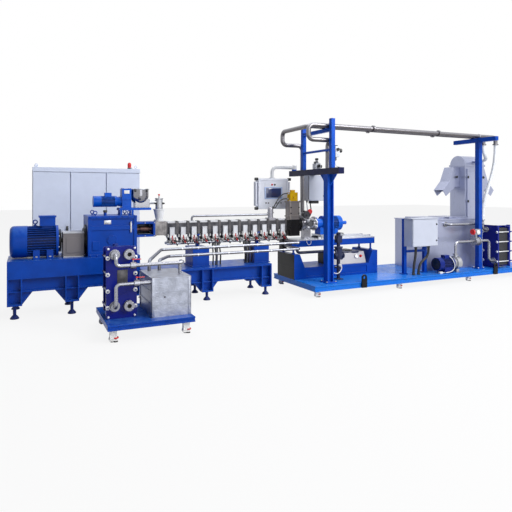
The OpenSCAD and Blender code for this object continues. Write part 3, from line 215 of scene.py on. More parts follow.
BLUE = srgb(4, 66, 168)
NAVY = srgb(6, 24, 128)
# Sky blue laid on the upward faces of the blue paints as a painted sky sheen.
SKY_SHEEN = srgb(110, 176, 236)
BARE = srgb(150, 160, 178)
STAINLESS = srgb(200, 203, 210)
# Darker grey painted on the lower half of pipes as shade.
UNDERSIDE_SHADE = srgb(92, 90, 94)
BLACK = srgb(16, 16, 19)
# Near-black painted shade for the grooves between motor fins.
GROOVE_SHADE = srgb(8, 10, 18)
PALE_DUST = srgb(196, 200, 206)
GREY_EDGE = srgb(150, 152, 160)
TUBE_GRAIN = (6.0, 160.0, 160.0)


def new_material(name):
    material = bpy.data.materials.new(name)
    material.use_nodes = True
    tree = material.node_tree
    return material, tree, tree.nodes["Principled BSDF"]


def put_group(tree, group, **values):
    node = tree.nodes.new("ShaderNodeGroup")
    node.node_tree = group
    for label, value in values.items():
        node.inputs[label.replace("_", " ")].default_value = value
    return node


def put_bump(tree, principled, height, strength, distance, normal=None):
    bump = tree.nodes.new("ShaderNodeBump")
    bump.inputs["Strength"].default_value = strength
    bump.inputs["Distance"].default_value = distance
    tree.links.new(height, bump.inputs["Height"])
    if normal is not None:
        tree.links.new(normal, bump.inputs["Normal"])
    tree.links.new(bump.outputs["Normal"], principled.inputs["Normal"])


def put_roughness(tree, principled, value, low, high, smooth, dull):
    tree.links.new(ranged(tree, value, low, high, smooth, dull), principled.inputs["Roughness"])


def weighted(tree, mask, share):
    """A mask at only a share of its strength."""
    return maths(tree, "MULTIPLY", mask, share)


def between(tree, value, low, high):
    past = maths(tree, "GREATER_THAN", value, low)
    return maths(tree, "MULTIPLY", past, maths(tree, "LESS_THAN", value, high))


def shaded_grooves(tree, base, groove):
    """Painted shade in the grooves between motor fins.

    It lies within a radius of the shaft and between two places along it.
    """
    shaft, radius, start, end = groove
    axes = axes_of(tree, object_place(tree))
    across = maths(tree, "POWER", maths(tree, "SUBTRACT", axes["Y"], shaft.y), 2.0)
    upright = maths(tree, "POWER", maths(tree, "SUBTRACT", axes["Z"], shaft.z), 2.0)
    away = maths(tree, "POWER", maths(tree, "ADD", across, upright), 0.5)
    deep = maths(tree, "LESS_THAN", away, radius)
    inside = maths(tree, "MULTIPLY", deep, between(tree, axes["X"], start, end))
    return mixed(tree, weighted(tree, inside, 0.72), base, GROOVE_SHADE)


def enamel(name, colour, worn, rough=0.34, top_share=0.22, coat=0.05, skin=260.0, tone=0.8,
           top_layer=PALE_DUST, groove=None):
    """Sprayed machine paint with cloudy tone, worn edges and a pale top layer on upward faces."""
    material, tree, principled = new_material(name)
    wear = put_group(tree, WEAR, Edge=0.005, Patch_Scale=6.0)
    peel = put_group(tree, PEEL, Scale=skin)
    base = mixed(tree, wear.outputs["Tone"], darker(colour, tone), colour)
    # Upward faces: settled dust in the dust colour, and on the blue paints a painted sky sheen in the
    # sky colour.
    base = mixed(tree, weighted(tree, wear.outputs["Top Layer"], top_share), base, top_layer)
    # Painted shade in the grooves between the fins.
    if groove:
        base = shaded_grooves(tree, base, groove)
    base = mixed(tree, weighted(tree, wear.outputs["Wear"], 0.55), base, worn)
    tree.links.new(base, principled.inputs["Base Color"])
    put_roughness(tree, principled, wear.outputs["Tone"], 0, 1, rough - 0.06, rough + 0.1)
    principled.inputs["Specular IOR Level"].default_value = 0.14
    principled.inputs["Coat Weight"].default_value = coat
    principled.inputs["Coat Roughness"].default_value = 0.18
    put_bump(tree, principled, peel.outputs["Height"], 0.08, 0.002, wear.outputs["Rounded"])
    return material


def brushed(name, colour, grain, rough=0.3, metal=0.92, underside=None, shade_from=0.45):
    """Brushed stainless sheet or tube; a tube can have a painted shade on its lower half."""
    material, tree, principled = new_material(name)
    wear = put_group(tree, WEAR, Edge=0.004, Patch_Scale=5.0)
    lines = put_group(tree, BRUSH, Along=grain)
    dim = darker(colour, 0.8)
    base = mixed(tree, lines.outputs["Lines"], dim, colour)
    base = mixed(tree, weighted(tree, lines.outputs["Smear"], 0.25), base, dim)
    # Painted shade: faces turned downward blend into the darker underside colour.
    if underside:
        facing = axes_of(tree, tree.nodes.new("ShaderNodeTexCoord").outputs["Normal"])["Z"]
        base = mixed(tree, ranged(tree, facing, shade_from, shade_from - 0.8), base, underside)
    tree.links.new(base, principled.inputs["Base Color"])
    principled.inputs["Metallic"].default_value = metal
    put_roughness(tree, principled, lines.outputs["Lines"], 0.2, 0.8, rough - 0.07, rough + 0.13)
    put_bump(tree, principled, lines.outputs["Lines"], 0.07, 0.001, wear.outputs["Rounded"])
    return material


def dark_steel(name, colour, bright, rough=0.42, metal=0.75):
    """Nitrided or heat-stained machined steel."""
    material, tree, principled = new_material(name)
    wear = put_group(tree, WEAR, Edge=0.003, Patch_Scale=16.0)
    peel = put_group(tree, PEEL, Scale=420.0)
    base = mixed(tree, wear.outputs["Tone"], colour, bright)
    base = mixed(tree, wear.outputs["Wear"], base, srgb(176, 176, 178))
    tree.links.new(base, principled.inputs["Base Color"])
    principled.inputs["Metallic"].default_value = metal
    put_roughness(tree, principled, wear.outputs["Tone"], 0, 1, rough + 0.1, rough - 0.08)
    put_bump(tree, principled, peel.outputs["Height"], 0.1, 0.0015, wear.outputs["Rounded"])
    return material


def moulded(name, colour, rough=0.42, top_share=0.12):
    """Moulded plastic or rubber with a fine grain."""
    material, tree, principled = new_material(name)
    wear = put_group(tree, WEAR, Edge=0.003, Patch_Scale=12.0)
    peel = put_group(tree, PEEL, Scale=700.0)
    base = mixed(tree, wear.outputs["Tone"], darker(colour, 0.86), colour)
    # Settled dust on upward faces.
    base = mixed(tree, weighted(tree, wear.outputs["Top Layer"], top_share), base, srgb(190, 192, 196))
    tree.links.new(base, principled.inputs["Base Color"])
    put_roughness(tree, principled, peel.outputs["Height"], 0.3, 0.7, rough - 0.08, rough + 0.1)
    put_bump(tree, principled, peel.outputs["Height"], 0.12, 0.001, wear.outputs["Rounded"])
    return material


def foil_jacket(name, colour):
    """Crinkled aluminium jacket round insulation."""
    material, tree, principled = new_material(name)
    place = object_place(tree)
    dents = noise(tree, place, 11.0, 5.0, 0.6)
    creases = tree.nodes.new("ShaderNodeTexVoronoi")
    creases.feature = "DISTANCE_TO_EDGE"
    creases.inputs["Scale"].default_value = 16.0
    tree.links.new(place, creases.inputs["Vector"])
    ridge = ranged(tree, creases.outputs["Distance"], 0.0, 0.08)
    height = maths(tree, "ADD", dents, weighted(tree, ridge, 0.12))
    base = mixed(tree, ranged(tree, dents, 0.35, 0.65), darker(colour, 0.72), colour)
    tree.links.new(base, principled.inputs["Base Color"])
    principled.inputs["Metallic"].default_value = 0.6
    put_roughness(tree, principled, dents, 0.3, 0.7, 0.28, 0.46)
    put_bump(tree, principled, height, 0.35, 0.02)
    return material


def banded(name, first, second, axis, limits, rough=0.4, metal_inside=0.0, groove=None):
    """Two colours on one piece: the second lies between two places along one axis."""
    material, tree, principled = new_material(name)
    wear = put_group(tree, WEAR, Edge=0.004, Patch_Scale=6.0)
    peel = put_group(tree, PEEL, Scale=300.0)
    low, high = limits
    inside = between(tree, axes_of(tree, object_place(tree))[axis], low, high)
    cloudy = mixed(tree, wear.outputs["Tone"], darker(first, 0.8), first)
    base = mixed(tree, inside, cloudy, second)
    # Painted pale-blue sky sheen on upward faces.
    base = mixed(tree, weighted(tree, wear.outputs["Top Layer"], 0.15), base, srgb(150, 176, 214))
    # Painted shade in the grooves between the fins.
    if groove:
        base = shaded_grooves(tree, base, groove)
    base = mixed(tree, weighted(tree, wear.outputs["Wear"], 0.5), base, BARE)
    principled.inputs["Specular IOR Level"].default_value = 0.16
    tree.links.new(base, principled.inputs["Base Color"])
    put_roughness(tree, principled, wear.outputs["Tone"], 0, 1, rough - 0.06, rough + 0.1)
    if metal_inside:
        tree.links.new(weighted(tree, inside, metal_inside), principled.inputs["Metallic"])
    put_bump(tree, principled, peel.outputs["Height"], 0.08, 0.002, wear.outputs["Rounded"])
    return material


# Shaft, radius and span along it of the painted shade between the fins of four motors.
FEEDER_GROOVE = (at(0, 0, 1526), mm(74), along(1216), along(1406))
MOTOR_GROOVE = (at(0, 0, 980), mm(205), along(240), along(600))
PUMP_GROOVE = (at(0, -820, 355), mm(108), along(7070), along(7310))
CUTTER_GROOVE = (at(0, 0, 1105), mm(128), along(5060), along(5320))

# The blue paints take a painted sky sheen on their upward faces.
blue_enamel = enamel("blue_enamel", BLUE, BARE, top_layer=SKY_SHEEN)
feeder_blue = enamel("feeder_blue_enamel", srgb(8, 84, 196), BARE, rough=0.3, top_layer=SKY_SHEEN,
                     groove=FEEDER_GROOVE)
cutter_blue = enamel("cutter_blue_enamel", srgb(14, 92, 206), BARE, rough=0.3, top_layer=SKY_SHEEN,
                     groove=CUTTER_GROOVE)
deck_blue = enamel("deck_blue_enamel", srgb(22, 112, 212), BARE, rough=0.3, tone=0.92, top_share=0.12,
                   top_layer=SKY_SHEEN)
navy_enamel = enamel("navy_enamel", NAVY, BARE, rough=0.3, coat=0.2, top_layer=SKY_SHEEN)
foot_paint = enamel("foot_paint", srgb(14, 36, 104), BARE, rough=0.4)
black_paint = enamel("black_paint", srgb(22, 22, 26), srgb(120, 120, 124), rough=0.4)
yellow_enamel = enamel("yellow_enamel", srgb(236, 188, 10), srgb(140, 110, 30), rough=0.36)
valve_grey = enamel("valve_grey", srgb(38, 44, 74), srgb(150, 152, 158), rough=0.34, coat=0.3)
cover_sheet = enamel("cover_sheet", srgb(222, 224, 230), srgb(150, 150, 154), rough=0.38, top_share=0.12)
box_paint = enamel("box_paint", srgb(184, 190, 206), GREY_EDGE, rough=0.4, top_share=0.08, tone=0.94)
cabinet_paint = enamel("cabinet_paint", srgb(212, 221, 242), GREY_EDGE, rough=0.42, top_share=0.05,
                       skin=420.0, tone=0.95)
panel_paint = enamel("panel_paint", srgb(234, 238, 250), GREY_EDGE, rough=0.4, top_share=0.05, tone=0.94)

barrel_steel = dark_steel("barrel_steel", srgb(62, 62, 68), srgb(98, 96, 98))
feed_steel = dark_steel("feed_steel", srgb(96, 94, 96), srgb(146, 142, 142), rough=0.36, metal=0.85)
heater_cast = dark_steel("heater_cast", srgb(46, 46, 52), srgb(80, 80, 86), rough=0.5, metal=0.6)
rust_steel = dark_steel("rust_steel", srgb(58, 40, 40), srgb(104, 72, 66), rough=0.5, metal=0.5)

stainless_x = brushed("stainless_along_line", srgb(176, 180, 189), (4.0, 240.0, 240.0))
stainless_z = brushed("stainless_upright", srgb(174, 180, 206), (200.0, 200.0, 4.0), metal=0.68)
# The tubes and pipes below carry a painted shade on their lower half.
tube_steel = brushed("tube_steel", srgb(150, 150, 157), TUBE_GRAIN, rough=0.28, metal=0.85,
                     underside=srgb(104, 100, 102))
line_steel = brushed("line_steel", srgb(144, 148, 160), TUBE_GRAIN, metal=0.8, underside=UNDERSIDE_SHADE)
polished = brushed("polished_pipe", srgb(170, 172, 182), (60.0, 60.0, 60.0), rough=0.22, metal=0.7,
                   underside=UNDERSIDE_SHADE, shade_from=0.1)
mirror_steel = brushed("mirror_steel", srgb(146, 146, 152), (30.0, 30.0, 30.0), rough=0.14,
                       metal=1.0)
cast_bright = brushed("machined_steel", srgb(160, 160, 168), (120.0, 120.0, 120.0), rough=0.28)
zinc = brushed("zinc_plate", srgb(192, 194, 200), (90.0, 90.0, 90.0), metal=0.85)
white_nut = brushed("white_nut", srgb(232, 234, 238), (60.0, 60.0, 60.0), rough=0.35, metal=0.35)
foil = foil_jacket("foil_jacket", srgb(178, 183, 198))

white_pipe = moulded("white_pipe", srgb(224, 227, 232), rough=0.34)
unit_white = moulded("unit_white", srgb(214, 218, 226), rough=0.38)
hose_white = moulded("hose_white", srgb(222, 226, 232), rough=0.4)
white_plug = moulded("white_plug", srgb(232, 232, 232), rough=0.4)
black_rubber = moulded("black_rubber", srgb(22, 22, 25), rough=0.55, top_share=0.2)
black_plastic = moulded("black_plastic", srgb(26, 27, 31), rough=0.36)
grey_plastic = moulded("grey_plastic", srgb(84, 86, 92), rough=0.4)
bezel_blue = moulded("bezel_blue", srgb(178, 198, 238), rough=0.4)
red_plastic = moulded("red_plastic", srgb(210, 24, 30), rough=0.3)
red_wire = moulded("red_wire", srgb(206, 22, 34))

# Pieces with a second colour between two places, in metres; FAR lies past every piece. Most are a
# second finish; the bed's black end face is painted shade.
FAR = 99.0
TABLE_TOP = 0.850
castor_finish = banded("castor_finish", srgb(244, 244, 244), srgb(24, 24, 26), "Z", (-0.01, 0.014),
                       rough=0.42)
table_finish = banded("table_finish", BLUE, STAINLESS, "Z", (TABLE_TOP - 0.019, FAR), rough=0.34,
                      metal_inside=0.8)
valve_coil_finish = banded("valve_coil_finish", srgb(206, 208, 210), srgb(28, 28, 32), "Y",
                           (SCREW_Y - 0.086, SCREW_Y + 0.086), rough=0.42)
guard_finish = banded("guard_finish", srgb(196, 198, 204), srgb(122, 118, 120), "Z", (0.766, 1.084))
gearbox_finish = banded("gearbox_finish", BLUE, BLACK, "X", (-FAR, along(1004.5)), rough=0.34)
motor_finish = banded("motor_finish", BLUE, BLACK, "X", (along(634.5), FAR), rough=0.34,
                      groove=MOTOR_GROOVE)
chute_pot_finish = banded("chute_pot_finish", srgb(228, 230, 234), srgb(178, 180, 186), "Z",
                          (1.4035, FAR), rough=0.34, metal_inside=0.8)
diverter_finish = banded("diverter_finish", srgb(24, 23, 25), srgb(128, 122, 120), "Z", (1.19, FAR),
                         rough=0.36, metal_inside=0.75)
box_end_finish = banded("box_end_finish", BLACK, srgb(150, 150, 156), "X",
                        (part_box("instrument_box")[0].x + 0.0005, FAR), rough=0.38, metal_inside=0.4)
mast_finish = banded("mast_finish", srgb(10, 82, 196), srgb(14, 20, 64), "Z", (1.9555, 2.0565),
                     rough=0.34)
# Painted shade: the bed's left end face, and what lies left of it, is painted black.
bed_shaded_end = banded("bed_shaded_end", BLUE, BLACK, "X", (-FAR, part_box("pelletizer_bed")[0].x + 0.0008),
                    rough=0.34)
pump_finish = banded("pump_finish", srgb(8, 34, 122), srgb(176, 178, 184), "X", (along(7354), FAR),
                     rough=0.3, metal_inside=0.8, groove=PUMP_GROOVE)


def plate_stack_finish():
    """Edges of many thin pressed plates, each pair parted by a black seal."""
    material, tree, principled = new_material("plate_stack")
    turn = tree.nodes.new("ShaderNodeMapping")
    tree.links.new(object_place(tree), turn.inputs["Vector"])
    stripes = tree.nodes.new("ShaderNodeTexWave")
    stripes.bands_direction = "DIAGONAL"
    stripes.inputs["Scale"].default_value = 42.0
    stripes.inputs["Distortion"].default_value = 0.6
    turn.inputs["Scale"].default_value = (1.0, 1.0, 0.0)
    tree.links.new(turn.outputs["Vector"], stripes.inputs["Vector"])
    ridge = stripes.outputs["Fac"]
    base = mixed(tree, ranged(tree, ridge, 0.45, 0.9), srgb(20, 20, 23), srgb(78, 80, 86))
    tree.links.new(base, principled.inputs["Base Color"])
    put_roughness(tree, principled, ridge, 0, 1, 0.6, 0.38)
    principled.inputs["Metallic"].default_value = 0.35
    put_bump(tree, principled, ridge, 0.6, 0.004)
    return material


def screen_glass():
    """Dark touch screen with a faint lit field."""
    material, tree, principled = new_material("screen_glass")
    glow = noise(tree, object_place(tree), 3.0, 2.0, 0.5)
    base = mixed(tree, ranged(tree, glow, 0.3, 0.7), srgb(34, 48, 96), srgb(52, 66, 122))
    tree.links.new(base, principled.inputs["Base Color"])
    put_roughness(tree, principled, glow, 0.3, 0.7, 0.06, 0.14)
    principled.inputs["Coat Weight"].default_value = 0.6
    return material


plate_stack = plate_stack_finish()
dark_screen = screen_glass()

NODE_FINISH = {
    blue_enamel: ["drive_base", "barrel_frame", "motor_fan_cover", "lantern", "barrel_pedestals",
                  "rear_mast", "box_stand", "cart_platform"],
    mast_finish: ["front_mast"],
    bed_shaded_end: ["pelletizer_bed", "bed_ends"],
    deck_blue: ["skid_platform"],
    feeder_blue: ["feeder_frame", "feeder_drive"],
    cutter_blue: ["cutter_drive"],
    pump_finish: ["water_pump"],
    navy_enamel: ["exchanger_frames"],
    foot_paint: ["levelling_feet"],
    motor_finish: ["main_motor"],
    gearbox_finish: ["gearbox"],
    guard_finish: ["coupling_guard"],
    chute_pot_finish: ["feed_chute"],
    barrel_steel: ["barrel_train"],
    feed_steel: ["feed_barrel"],
    diverter_finish: ["diverter_valve"],
    heater_cast: ["barrel_heaters"],
    plate_stack: ["exchanger_packs"],
    cover_sheet: ["barrel_covers"],
    stainless_x: ["cooling_manifolds", "cutter_carriage"],
    mirror_steel: ["feeder_hopper"],
    box_end_finish: ["instrument_box"],
    cast_bright: ["vacuum_vent", "cutter_head", "exchanger_ports"],
    polished: ["cart_piping", "pump_piping"],
    stainless_z: ["dryer", "dryer_chutes", "water_tank", "tank_lid"],
    tube_steel: ["overhead_pipes"],
    valve_coil_finish: ["cooling_valves"],
    black_paint: ["lifting_lugs"],
    white_pipe: ["panel_arm"],
    foil: ["insulated_tank"],
    line_steel: ["process_pipes", "vacuum_line"],
    yellow_enamel: ["valve_actuator"],
    valve_grey: ["bypass_valves"],
    castor_finish: ["castors"],
    table_finish: ["rail_table"],
    unit_white: ["air_units"],
    box_paint: ["control_boxes"],
    hose_white: ["hoses"],
    cabinet_paint: ["cabinet_body", "cabinet_door_left", "cabinet_door_middle",
                    "cabinet_door_right"],
    panel_paint: ["operator_panel"],
}


def dress_cad_nodes():
    for material, names in NODE_FINISH.items():
        for name in names:
            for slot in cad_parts[name].material_slots:
                slot.material = material


# Modelling

SMOOTH_ANGLE = math.radians(35)
ROUTE_STEPS = 6


def add(primitive, name, **size):
    bpy.ops.object.select_all(action="DESELECT")
    primitive(**size)
    piece = bpy.context.object
    piece.name = name
    piece.data.name = name
    return piece


def edit(piece):
    bpy.context.view_layer.objects.active = piece
    bpy.ops.object.mode_set(mode="EDIT")
    bpy.ops.mesh.select_mode(type="FACE")


def leave():
    bpy.ops.object.mode_set(mode="OBJECT")


def pick_faces(piece, test):
    edit(piece)
    bpy.ops.mesh.select_all(action="DESELECT")
    leave()
    for face in piece.data.polygons:
        face.select = test(face)
    edit(piece)


def settle(piece):
    """Places are written into the mesh and flat faces stay crisp."""
    bpy.ops.object.select_all(action="DESELECT")
    piece.select_set(True)
    bpy.context.view_layer.objects.active = piece
    bpy.ops.object.transform_apply(location=True, rotation=True, scale=True)
    bpy.ops.object.shade_smooth_by_angle(angle=SMOOTH_ANGLE)
    return piece


def turned(name, steps, count):
    """Round piece about +Z from radius and height steps in millimetres, closed at both ends."""
    radius, height = steps[0]
    piece = add(bpy.ops.mesh.primitive_circle_add, name, vertices=count, radius=mm(radius),
                fill_type="NGON", location=(0, 0, mm(height)))
    bpy.ops.object.transform_apply(location=True)
    edit(piece)
    bpy.ops.mesh.select_all(action="SELECT")
    for next_radius, next_height in steps[1:]:
        rise = (0, 0, mm(next_height - height))
        bpy.ops.mesh.extrude_region_move(TRANSFORM_OT_translate={"value": rise})
        ratio = next_radius / radius
        if ratio != 1:
            bpy.ops.transform.resize(value=(ratio, ratio, 1),
                                     center_override=(0, 0, mm(next_height)))
        radius, height = next_radius, next_height
    bpy.ops.mesh.select_all(action="SELECT")
    bpy.ops.mesh.normals_make_consistent(inside=False)
    leave()
    return piece


def block(name, low, high, edge):
    """Block between two corners with small rounded edges, their size in millimetres."""
    size = high - low
    piece = add(bpy.ops.mesh.primitive_cube_add, name, size=1, location=(low + high) / 2)
    edit(piece)
    bpy.ops.mesh.select_all(action="SELECT")
    bpy.ops.transform.resize(value=size, center_override=(low + high) / 2)
    bpy.ops.mesh.bevel(offset=mm(edge), segments=2, affect="EDGES")
    leave()
    return piece


def stand(piece, point, axis):
    """Turns a piece made about +Z to point along an axis, at a place."""
    piece.rotation_mode = "QUATERNION"
    piece.rotation_quaternion = UP.rotation_difference(axis)
    piece.location = point
    return piece


def joined(name, pieces):
    bpy.ops.object.select_all(action="DESELECT")
    for piece in pieces:
        piece.select_set(True)
    bpy.context.view_layer.objects.active = pieces[0]
    bpy.ops.object.transform_apply(location=True, rotation=True, scale=True)
    if len(pieces) > 1:
        bpy.ops.object.join()
    pieces[0].name = name
    pieces[0].data.name = name
    return pieces[0]


def spread(name, master, places):
    """One copy of a master, each with its own mesh, at every place and axis; the master goes."""
    copies = []
    for point, axis in places:
        copy = master.copy()
        copy.data = master.data.copy()
        bpy.context.scene.collection.objects.link(copy)
        copies.append(stand(copy, point, axis))
    bpy.data.objects.remove(master)
    return settle(joined(name, copies))


def finish_piece(piece, material, body="line"):
    piece.data.materials.clear()
    piece.data.materials.append(material)
    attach(piece, body)
    return piece


def box_piece(name, low, high, edge, material, body="line"):
    return finish_piece(settle(block(name, low, high, edge)), material, body)


def round_piece(name, steps, point, axis, material, count=28, body="line"):
    piece = stand(turned(name, steps, count), point, axis)
    return finish_piece(settle(piece), material, body)


def assembled(name, parts, material, body="line"):
    """Parts that were made in place, as one piece."""
    return finish_piece(settle(joined(name, parts)), material, body)


def many(name, master, places, material, body="line"):
    return finish_piece(spread(name, master, places), material, body)


def round_set(name, steps, count, places, material, body="line"):
    """The same round shape at every place and axis."""
    return many(name, turned(name + "_master", steps, count), places, material, body)


def hex_bolt(size):
    """Washer and hexagon head with a turned crown, standing on +Z."""
    washer = turned("washer", [(size * 1.25, -0.5), (size * 1.25, size * 0.22),
                               (size * 1.1, size * 0.26)], 16)
    head = turned("head", [(size, size * 0.2), (size, size * 0.85), (size * 0.86, size)], 6)
    return joined("hex_bolt", [washer, head])


def socket_screw(size):
    """Round socket-head screw with a sunk middle."""
    return turned("socket_screw", [(size, -0.5), (size, size * 0.9), (size * 0.88, size),
                                   (size * 0.5, size), (size * 0.45, size * 0.5)], 14)


def bolts(name, size, places, material=zinc):
    return many(name, hex_bolt(size), places, material)


def screws(name, size, places, material=zinc):
    return many(name, socket_screw(size), places, material)


def circle(count, start):
    """Even angles of a bolt circle, the first one at a start in degrees."""
    return [math.radians(360 / count * k + start) for k in range(count)]


def smooth_route(points):
    """Points of one smooth curve through the given places."""
    route = []
    last = len(points) - 1
    for i in range(last):
        a, b = points[max(0, i - 1)], points[i]
        c, d = points[i + 1], points[min(last, i + 2)]
        for k in range(ROUTE_STEPS):
            t = k / ROUTE_STEPS
            bend = (2 * a - 5 * b + 4 * c - d) * t * t
            twist = (3 * b - a - 3 * c + d) * t ** 3
            route.append(0.5 * (2 * b + (c - a) * t + bend + twist))
    return route + [points[last]]


def tube(name, route, diameter, material):
    """Round tube of one open curve."""
    curve = bpy.data.curves.new(name, "CURVE")
    curve.dimensions = "3D"
    curve.bevel_depth = diameter / 2
    curve.bevel_resolution = 3
    curve.use_fill_caps = True
    spline = curve.splines.new("POLY")
    spline.points.add(len(route) - 1)
    for point, place in zip(spline.points, route):
        point.co = (*place, 1)
    piece = bpy.data.objects.new(name, curve)
    bpy.context.scene.collection.objects.link(piece)
    return finish_piece(piece, material)


def hose(name, route, diameter, material):
    """Free wire or hose from one place on the machine to another."""
    piece = tube(name, route, diameter, material)
    return piece


def line_route(places):
    return smooth_route([at(*place) for place in places])


def wire(name, places, width, material):
    """Free wire through places on the line; its width is in millimetres, too."""
    return hose(name, line_route(places), mm(width), material)


def fixed_wire(name, places, width, material):
    """Short wire of the machine's own wiring, which is not free at either end."""
    return tube(name, line_route(places), mm(width), material)


# Camera, floor and light, set out as for the photograph

CAMERA_PLACE = at(240, -7400, 1650)
CAMERA_YAW = math.radians(25.25)
FOCAL_PIXELS = 485
PICTURE = 512
HORIZON_ROW = 193
FLOOR_SIZE = 90
FLOOR_GLOW = 0.87
WORLD_LIGHT = 0.7
LAMP_AIM = Vector((0, 0, 0.9))


def set_camera():
    data = bpy.data.cameras.new("camera")
    data.sensor_width = 36
    data.lens = data.sensor_width * FOCAL_PIXELS / PICTURE
    data.shift_y = (HORIZON_ROW - PICTURE / 2) / PICTURE
    camera = bpy.data.objects.new("camera", data)
    bpy.context.scene.collection.objects.link(camera)
    camera.location = CAMERA_PLACE
    camera.rotation_euler = (math.radians(90), 0, -CAMERA_YAW)
    bpy.context.scene.camera = camera


def background_rays(tree):
    """Rays to the pale background, straight from the camera or by way of metal and glass."""
    rays = tree.nodes.new("ShaderNodeLightPath").outputs
    mirrored = maths(tree, "MAXIMUM", rays["Is Glossy Ray"], rays["Is Transmission Ray"])
    return maths(tree, "MAXIMUM", rays["Is Camera Ray"], mirrored)


def set_floor():
    floor = add(bpy.ops.mesh.primitive_plane_add, "floor", size=FLOOR_SIZE, location=(0, 0, -0.002))
    edit(floor)
    bpy.ops.mesh.subdivide(number_cuts=3)
    leave()
    material, tree, principled = new_material("pale_floor")
    principled.inputs["Base Color"].default_value = (0.62, 0.62, 0.63, 1)
    principled.inputs["Roughness"].default_value = 0.9
    principled.inputs["Specular IOR Level"].default_value = 0.1
    glow = tree.nodes.new("ShaderNodeEmission")
    glow.inputs["Color"].default_value = (1, 1, 1, 1)
    blend = tree.nodes.new("ShaderNodeMixShader")
    seen = maths(tree, "MULTIPLY", background_rays(tree), FLOOR_GLOW)
    tree.links.new(seen, blend.inputs["Fac"])
    tree.links.new(principled.outputs["BSDF"], blend.inputs[1])
    tree.links.new(glow.outputs["Emission"], blend.inputs[2])
    tree.links.new(blend.outputs["Shader"], tree.nodes["Material Output"].inputs["Surface"])
    floor.data.materials.append(material)


def area_light(name, place, size, power, colour=(1, 1, 1)):
    data = bpy.data.lights.new(name, "AREA")
    data.size = size
    data.energy = power
    data.color = colour
    lamp = bpy.data.objects.new(name, data)
    bpy.context.scene.collection.objects.link(lamp)
    lamp.location = place
    lamp.rotation_mode = "QUATERNION"
    lamp.rotation_quaternion = (LAMP_AIM - place).to_track_quat("-Z", "Y")


def set_light():
    world = bpy.data.worlds.new("studio")
    bpy.context.scene.world = world
    world.use_nodes = True
    tree = world.node_tree
    soft = tree.nodes["Background"]
    soft.inputs["Color"].default_value = (0.93, 0.96, 1, 1)
    axes = axes_of(tree, tree.nodes.new("ShaderNodeTexCoord").outputs["Generated"])
    side = ranged(tree, axes["X"], -0.7, 0.5, 0.08, 1.0)
    lift = ranged(tree, axes["Z"], -0.2, 0.8, 0.4, 1.0)
    strength = weighted(tree, maths(tree, "MULTIPLY", side, lift), WORLD_LIGHT)
    tree.links.new(strength, soft.inputs["Strength"])
    white = tree.nodes.new("ShaderNodeBackground")
    white.inputs["Color"].default_value = (1, 1, 1, 1)
    white.inputs["Strength"].default_value = 1.0
    blend = tree.nodes.new("ShaderNodeMixShader")
    tree.links.new(background_rays(tree), blend.inputs["Fac"])
    tree.links.new(soft.outputs["Background"], blend.inputs[1])
    tree.links.new(white.outputs["Background"], blend.inputs[2])
    tree.links.new(blend.outputs["Shader"], tree.nodes["World Output"].inputs["Surface"])
    area_light("key", Vector((4.5, -9.5, 8.0)), 6, 1350, (1, 0.98, 0.95))
    area_light("fill", Vector((-1, -12, 4)), 6, 260, (0.95, 0.97, 1))
    area_light("top", Vector((0, 1, 9)), 8, 420)
    bpy.context.scene.view_settings.view_transform = "Standard"


# Detail pieces, with sizes in millimetres as their places are

BARREL_PITCH = 175
BARREL_COUNT = 12
VENT_BARREL = 10
TRAIN_START = 2165
TRAIN_TOP = 1205
COVER_TOP = 1211
HEATER_FLOOR = 997
HEATER_FRONT = 112
SCREW_HEIGHT = 1105
DRIVE_HEIGHT = 980
FEED_X = 2077
BOTH = (-1, 1)
SIDES = ((-1, FRONT), (1, BACK))


def barrel_middle(index):
    return TRAIN_START + (index + 0.5) * BARREL_PITCH


def make_barrel_details():
    joints = [TRAIN_START + joint * BARREL_PITCH for joint in range(1, BARREL_COUNT)]
    screws("flange_screws", 7.5, [(at(x + dx, y, TRAIN_TOP), UP) for x in joints
                                  for dx in (-10, 10) for y in (-62, -22, 22, 62)], black_paint)
    screws("cover_screws", 4.5, [(at(barrel_middle(i) + dx, y, COVER_TOP), UP)
                                 for i in range(BARREL_COUNT) if i != VENT_BARREL
                                 for dx in (-52, 52) for y in (-62, 62)])
    bolts("feed_throat_bolts", 9, [(at(FEED_X + dx, y, 1215), UP)
                                   for dx in (-70, 70) for y in (-80, 80)])
    plugs = [(at(barrel_middle(i) + dx, side * HEATER_FRONT, HEATER_FLOOR), DOWN)
             for i in range(BARREL_COUNT) for dx in (-25, 25) for side in BOTH]
    body = block("heater_plug", Vector((-0.018, -0.016, -0.0005)), Vector((0.018, 0.016, 0.036)), 4)
    neck = turned("plug_neck", [(13, 34), (13, 42), (9, 48), (9, 54)], 12)
    many("heater_plugs", joined("heater_plug", [body, neck]), plugs, white_plug)


def make_cooling_coils():
    """Black coil and steel unions beside each cooling valve on the front manifold."""
    coils, unions = [], []
    for i in range(BARREL_COUNT):
        x = barrel_middle(i)
        coils.append(block("coil", at(x + 40, -128, 884), at(x + 72, -84, 930), 5))
        coils.append(block("coil_plug", at(x + 47, -142, 894), at(x + 65, -126, 918), 3))
        unions += [(at(x + 56, -106, 930), UP), (at(x - 60, -62, 889), UP)]
    assembled("cooling_coils", coils, black_plastic)
    round_set("cooling_unions", [(9, -2), (9, 10), (15, 12), (15, 28), (9, 30), (9, 42)], 6, unions,
              zinc)


